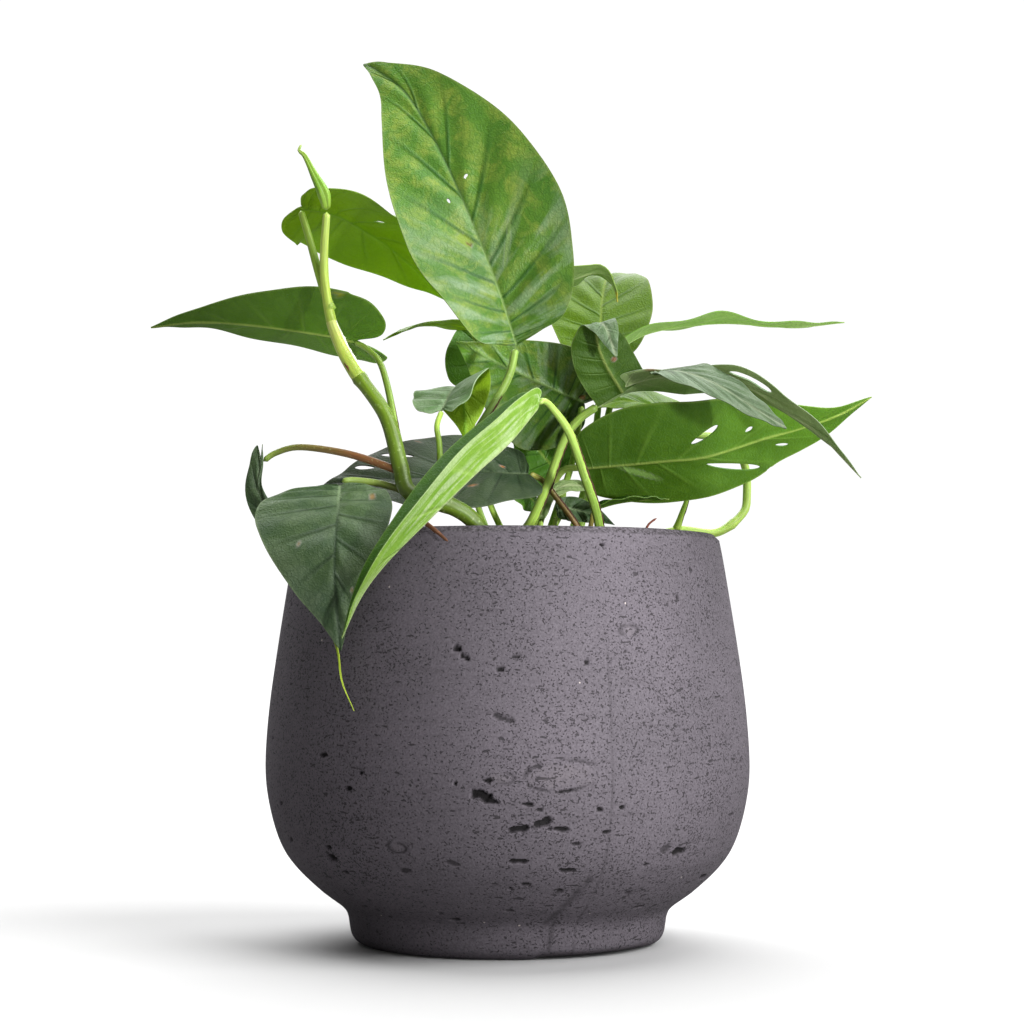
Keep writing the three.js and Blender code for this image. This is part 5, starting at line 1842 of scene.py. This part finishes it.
def growths() -> list[Growth]:
    """The stems with their stalks, the roots and the leaf that is still rolled.

    Returns:
        The bodies.
    """
    green = ("7fa03c", "8cab44")
    olive = ("6d7c34", "7d9040", "86a046")
    brownish = ("7d5c34", "86703c", "8a8a44")
    lime = ("9dbb4c", "8fb43c", "a4c254")
    right = (1.0, -0.6, 0.2)
    return [
        Growth("vine_left", "stem", (
            Tube(((6, -32, 114), (0, -36, 128), (-6, -40, 138), (-13, -44, 147), (-23, -48, 152),
                  (-33, -50, 155), (-36, -48, 164), (-41, -44, 181), (-52, -40, 197), (-59, -38, 211),
                  (-62, -38, 225), (-62.5, -39, 237), (-61.5, -41, 251)),
                 (2.6, 2.9, 2.9, 2.7, 2.25, 1.6, 1.3),
                 tones=("4a6018", "4a6018", "566e1c", "5e781e", "6c881e", "b4cc54", "bcd468"),
                 swellings=((0.3, 0.5), (0.64, 0.45)), sides=20, flare=0,
                 edges=(SheathEdge(0.655, 0.69, (-0.8, -1, -0.4), 0.6, ("7a4a2a", "5c3420")),)),
            Tube(((-49.5, -41, 193.5), (-52, -40, 197), (-56, -38.8, 204), (-59, -38, 211),
                  (-60.3, -38, 215)), (2.6, 2.45, 2.2, 1.8), ("a4c048", "b8cc54", "c8d874"), flare=0,
                 sides=20, round_end=0.4,
                 edges=(SheathEdge(0.04, 0.96, (1, -0.5, 0), 0.55, ("f2f2e4", "e6e8d4")),)),
            Tube(((-27, -54, 151), (-27.5, -57, 148), (-28, -59.5, 146.5)), (0.5, 0.3),
                 ("8a4a30", "6e3424"), Coat.DRY, flare=0, ragged=0.4, sides=8, step=0.8),
            Tube(((-60, -38, 217), (-64, -36, 229), (-68, -34, 243), (-71.2, -31.6, 253.2)), (1.6, 1.2),
                 lime),
            Tube(((-36, -46, 166), (-39, -34, 182), (-42, -24, 195), (-45, -18, 203), (-50, -15, 208),
                  (-54, -13.6, 210)), (1.5, 1.2, 1), green,
                 edges=(SheathEdge(0.03, 0.45, right, 0.25),)),
            Tube(((-27, -48, 152), (-23, -46, 161), (-23, -42, 171), (-24, -38, 178), (-22.5, -33, 183.8)),
                 (1.1, 0.9), lime, edges=(SheathEdge(0.05, 0.5, (-1, -0.4, 0), 0.28),)),
            Tube(((-33, -49, 155), (-43, -46, 158), (-52, -47, 159), (-55.5, -48.6, 158.4)), (1.3, 1.1),
                 olive),
            Tube(((-83.4, -33.6, 166.4), (-79, -33.4, 169.4), (-70, -37, 171), (-53, -43, 168),
                  (-36, -48, 162)), (1, 1.2, 1.4), ("86a046", "7d7438", "7a5230", "6d4a2a"), flare=0),
            Tube(((-26, -48, 152), (-18, -46, 163), (-9, -42, 178), (0, -38, 194), (2.8, -36.3, 204.9)),
                 (1.7, 1.5, 1.3), ("41581e", "547028", "8aa84c"),
                 edges=(SheathEdge(0.02, 0.72, right, 0.55),)),
        )),
        Growth("vine_middle", "stem", (
            Tube(((-22, 16, 118), (-18, 13, 133), (-8, 10, 142), (8, 8, 144), (24, 6, 143), (34, 2, 134),
                  (38, -2, 118)), (2, 2.4, 2.4, 2), green, flare=0,
                 swellings=((0.3, 0.4), (0.5, 0.5), (0.68, 0.4))),
            Tube(((-10, 10, 141), (-6, 18, 141.5), (6, 24, 141), (24, 26, 140), (32, 26, 132)),
                 (1.8, 1.8), green),
            Tube(((0, 9, 144), (4, 4, 144), (8, -1, 147), (14, -5, 160), (20, -9, 176), (25, -11, 183),
                  (31.6, -12.8, 187.6)), (1.8, 1.8, 1.7, 1.4), ("9abc4a", "98b852", "8aa84a"),
                 edges=(SheathEdge(0.22, 0.82, right, 0.4),)),
            Tube(((24, 6, 143), (31, -5, 140), (32, -16, 141), (31, -22, 149), (26, -30, 163),
                  (21, -37, 176), (15, -42, 184), (12, -45, 186), (10.3, -46, 184.5)),
                 (1.7, 1.7, 1.7, 1.6, 1), ("7d9a3c", "8aac48", "9cb858"),
                 edges=(SheathEdge(0.3, 0.78, right, 0.4),)),
            Tube(((28, 6, 142), (27, 1, 142.5), (24, -1.3, 147), (18, -1.3, 155), (13.5, -0.5, 161),
                  (11, -3, 163), (8, -7.4, 164)), (1.1, 1), brownish,
                 edges=(SheathEdge(0.2, 0.8, right, 0.35),)),
            Tube(((10, 14, 141.5), (12.5, 13, 152), (16, 10, 161), (20, 6.5, 166.5), (26.4, 0.3, 167)),
                 (1.4, 1.2), olive),
            Tube(((14, 11, 142), (18, 13, 154), (23, 8, 169), (25, -3, 181), (26.4, -3.6, 188.6)),
                 (1.3, 1.1), green),
            Tube(((14, 14, 142), (19, 15, 151), (20.2, 13, 159), (19.8, 12.3, 163.8)), (1, 0.9), green),
            Tube(((6, 11, 143), (10.5, 11, 149), (11.2, 9, 153.7)), (1, 0.8), green),
            Tube(((10, 8, 144), (11.5, 5, 145), (12, 4.1, 148.4)), (0.9, 0.8), lime),
            Tube(((17, 8, 143.5), (16.7, 4.5, 146), (16.6, 3.4, 149.6)), (0.9, 0.8), green),
            Tube(((26, 6, 142), (29, -1, 145), (30.2, -4.7, 151.2)), (1, 0.8), brownish),
            Tube(((-6, 18, 141.5), (-12, 30, 160), (-13, 43, 188), (-7.3, 42, 203.4)), (1.2, 0.9), green),
            Tube(((0, 21, 141), (-8, 21, 160), (-14, 24, 190), (-9, 27, 212), (-3.9, 25.3, 217.5)),
                 (1.2, 0.9), lime),
            Tube(((10, 25, 141), (16, 26, 170), (10, 20, 196), (3, 10, 216), (-1, 2.9, 224.8)),
                 (1.2, 0.9), green),
            Tube(((22, 26, 140.5), (29, 28, 165), (33, 25, 190), (33, 23.8, 210.5)), (1.4, 1.1), green),
            Tube(((25, 26, 140), (31, 33, 165), (38, 25, 194), (38.6, 15, 205), (37.2, 8.8, 208.3)),
                 (1.4, 1.1), green),
        )),
        Growth("vine_right", "stem", (
            Tube(((46, 16, 118), (53, 20, 138), (61, 22, 145.5), (76, 26, 145), (86, 30, 152),
                  (88, 32, 159), (87, 32, 171), (79, 23, 179), (69, 17, 180), (65.8, 15.4, 180.5)),
                 (1.8, 1.6, 1.5, 1.3), ("9dbb4c", "a4c450", "a9c65c", "a4c254"), flare=0,
                 swellings=((0.27, 0.5), (0.5, 0.35))),
            Tube(((61, 22, 145), (63, 20, 151), (65, 18, 157), (66, 16, 164)), (1.3, 1, 0.4), lime,
                 round_end=3.0, edges=(SheathEdge(0.1, 0.9, right, 0.22),)),
        )),
        Growth("aerial_root", "root", (
            Tube(((-30, -53.5, 151), (-31, -60, 148), (-30, -66, 145.5), (-27, -70.5, 143.6),
                  (-23.5, -74, 141), (-19, -77, 137)), (0.9, 0.9, 0.8, 0.4),
                 ("8a5a36", "6e4426", "54331e"), Coat.DRY, ragged=0.5, flare=0, round_end=2.0),
        )),
        Growth("rootlet_right", "root", (
            Tube(((47, 2, 124), (48, 1, 138), (49.5, 0, 146), (53, 0, 149)), (0.7, 0.6, 0.35),
                 ("6e4426", "8a4a3a"), Coat.DRY, ragged=0.4, flare=0, round_end=2.0),
        )),
        Growth("leaf_rolled", "bright_leaf", (
            Tube(((-61.5, -41, 251.6), (-62.5, -42, 257), (-66, -42, 264), (-69, -42, 270),
                  (-71, -41, 272), (-70.3, -40, 274.5)), (1.3, 2.3, 1.7, 1.1, 0.8, 0.3),
                 ("9cc043", "7fae34", "8fb83c", "a8c25c"), flare=0, groove=0.3, sides=24, step=1.2,
                 round_end=2.0),
        )),
    ]


def build_leaf(blade: Blade, looks: dict[LeafLook, bpy.types.Material]) -> bpy.types.Object:
    """Makes a leaf with the lobes that stand off it.

    Args:
        blade: The leaf.
        looks: The finished materials.

    Returns:
        The object.
    """
    mesh = blade.mesh()
    materials = [looks[blade.upper], looks[blade.under]]
    if blade.flaps:
        joined = bmesh.new()
        joined.from_mesh(mesh)
        for number, flap in enumerate(blade.flaps, 1):
            before = len(joined.faces)
            joined.from_mesh(flap.mesh())
            joined.faces.ensure_lookup_table()
            for face in joined.faces[before:]:
                face.material_index += 2 * number
            materials += [looks[flap.upper], looks[flap.under]]
        joined.to_mesh(mesh)
        joined.free()
    return put_in_scene(mesh, materials, blade.name)


# Camera, light and floor


@dataclass(frozen=True)
class Softbox:
    """A broad far light: its strength, its width as an angle, and its bearing and rise, all in degrees."""

    name: str
    strength: float
    width: float
    bearing: float
    rise: float

    def place(self) -> None:
        """Sets the light."""
        data = bpy.data.lights.new(self.name, "SUN")
        data.energy = self.strength
        data.angle = math.radians(self.width)
        light = bpy.data.objects.new(self.name, data)
        bearing, rise = math.radians(self.bearing), math.radians(self.rise)
        level = math.cos(rise)
        toward = Vector((math.sin(bearing) * level, -math.cos(bearing) * level, math.sin(rise)))
        light.rotation_euler = toward.to_track_quat("Z", "Y").to_euler()
        bpy.context.scene.collection.objects.link(light)


@dataclass(frozen=True)
class Lamp:
    """A lamp with a tall narrow soft-edged beam: where it stands and aims, its beam and its power."""

    stands: Point = (640.0, -1109.0, 80.0)
    aims: Point = (-8.7, -5.0, 132.0)
    beam_width: float = 5.4
    beam_stretch: float = 2.7
    edge: float = 0.75
    power: float = 105.0
    size: float = 0.06

    def place(self) -> None:
        """Sets the lamp."""
        data = bpy.data.lights.new("front_lamp", "SPOT")
        data.energy = self.power
        data.spot_size = math.radians(self.beam_width)
        data.spot_blend = self.edge
        data.shadow_soft_size = self.size
        lamp = bpy.data.objects.new("front_lamp", data)
        lamp.location = Vector(self.stands) * MM
        lamp.rotation_euler = (Vector(self.stands) - Vector(self.aims)).to_track_quat("Z", "Y").to_euler()
        lamp.scale = (1.0, self.beam_stretch, 1.0)
        bpy.context.scene.collection.objects.link(lamp)


@dataclass(frozen=True)
class Studio:
    """The viewing angle, a plain pale floor, and soft light from the right front and from behind.

    The camera sees the surround and the paper lighter than they light the plant.
    """

    eye: Point = (1.52, -850.0, 101.2)
    tilt: float = 3.36
    lens: float = 84.375
    sensor: float = 36.0
    floor_size: float = 60.0
    softboxes: Sequence[Softbox] = (Softbox("key_softbox", 4.3, 50, 60, 35),
                                    Softbox("back_softbox", 5.0, 75, 178, 58))
    lamp: Lamp = Lamp()
    surround_light: float = 0.12
    surround_seen: float = 1.05
    paper_light: str = "8a8a8a"
    paper_seen: str = "c2c2c2"

    def camera(self) -> None:
        """Sets the camera at the photograph's viewing angle."""
        data = bpy.data.cameras.new("camera")
        data.lens = self.lens
        data.sensor_width = self.sensor
        data.clip_start = 0.05
        data.clip_end = 200.0
        camera = bpy.data.objects.new("camera", data)
        camera.location = Vector(self.eye) * MM
        camera.rotation_euler = (math.radians(90 + self.tilt), 0, 0)
        bpy.context.scene.collection.objects.link(camera)
        bpy.context.scene.camera = camera

    def lights(self) -> None:
        """Sets the softboxes, the lamp and an even white surround."""
        for softbox in self.softboxes:
            softbox.place()
        self.lamp.place()
        world = bpy.data.worlds.new("white_surround")
        world.use_nodes = True
        tree = world.node_tree
        tree.nodes.clear()
        path = add(tree, "LightPath")
        strength = add(tree, "MapRange", {0: (path, "Is Camera Ray"), 3: self.surround_light,
                                          4: self.surround_seen})
        back = add(tree, "Background", {"Color": (1, 1, 1, 1), "Strength": strength})
        add(tree, "OutputWorld", {"Surface": back})
        bpy.context.scene.world = world
        bpy.context.scene.view_settings.view_transform = "Standard"

    def floor(self) -> None:
        """Lays the plain pale floor, of matt paper with next to no gleam."""
        bm = bmesh.new()
        bmesh.ops.create_grid(bm, x_segments=1, y_segments=1, size=self.floor_size / 2)
        mesh = bpy.data.meshes.new("floor")
        bm.to_mesh(mesh)
        bm.free()
        floor = bpy.data.objects.new("floor", mesh)
        bpy.context.scene.collection.objects.link(floor)
        material, tree = new_material("matt_white_paper")
        path = add(tree, "LightPath")
        shown = add(tree, "Mix", {0: (path, "Is Camera Ray"), 6: self.paper_light, 7: self.paper_seen},
                    data_type="RGBA")
        paper = add(tree, "BsdfPrincipled", {"Base Color": shown, "Roughness": 0.9,
                                             "Specular IOR Level": 0.1})
        add(tree, "OutputMaterial", {"Surface": paper})
        mesh.materials.append(material)


def main() -> None:
    """Builds the pot, the soil, the stems and the leaves around the frame."""
    logging.basicConfig(level=logging.INFO, format="%(name)s: %(message)s")
    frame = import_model()
    LOG.info("frame loaded with %d nodes", len(frame["nodes"]))
    studio = Studio()
    studio.camera()
    studio.lights()
    studio.floor()
    ConcretePot().build()
    PottingMix().build()
    skins = [StemFinishes.living(), StemFinishes.dry()]
    for growth in growths():
        growth.build(skins)
    looks = {look: look.value.build() for look in LeafLook}
    for blade in leaves():
        build_leaf(blade, looks)


if __name__ == "__main__":
    main()
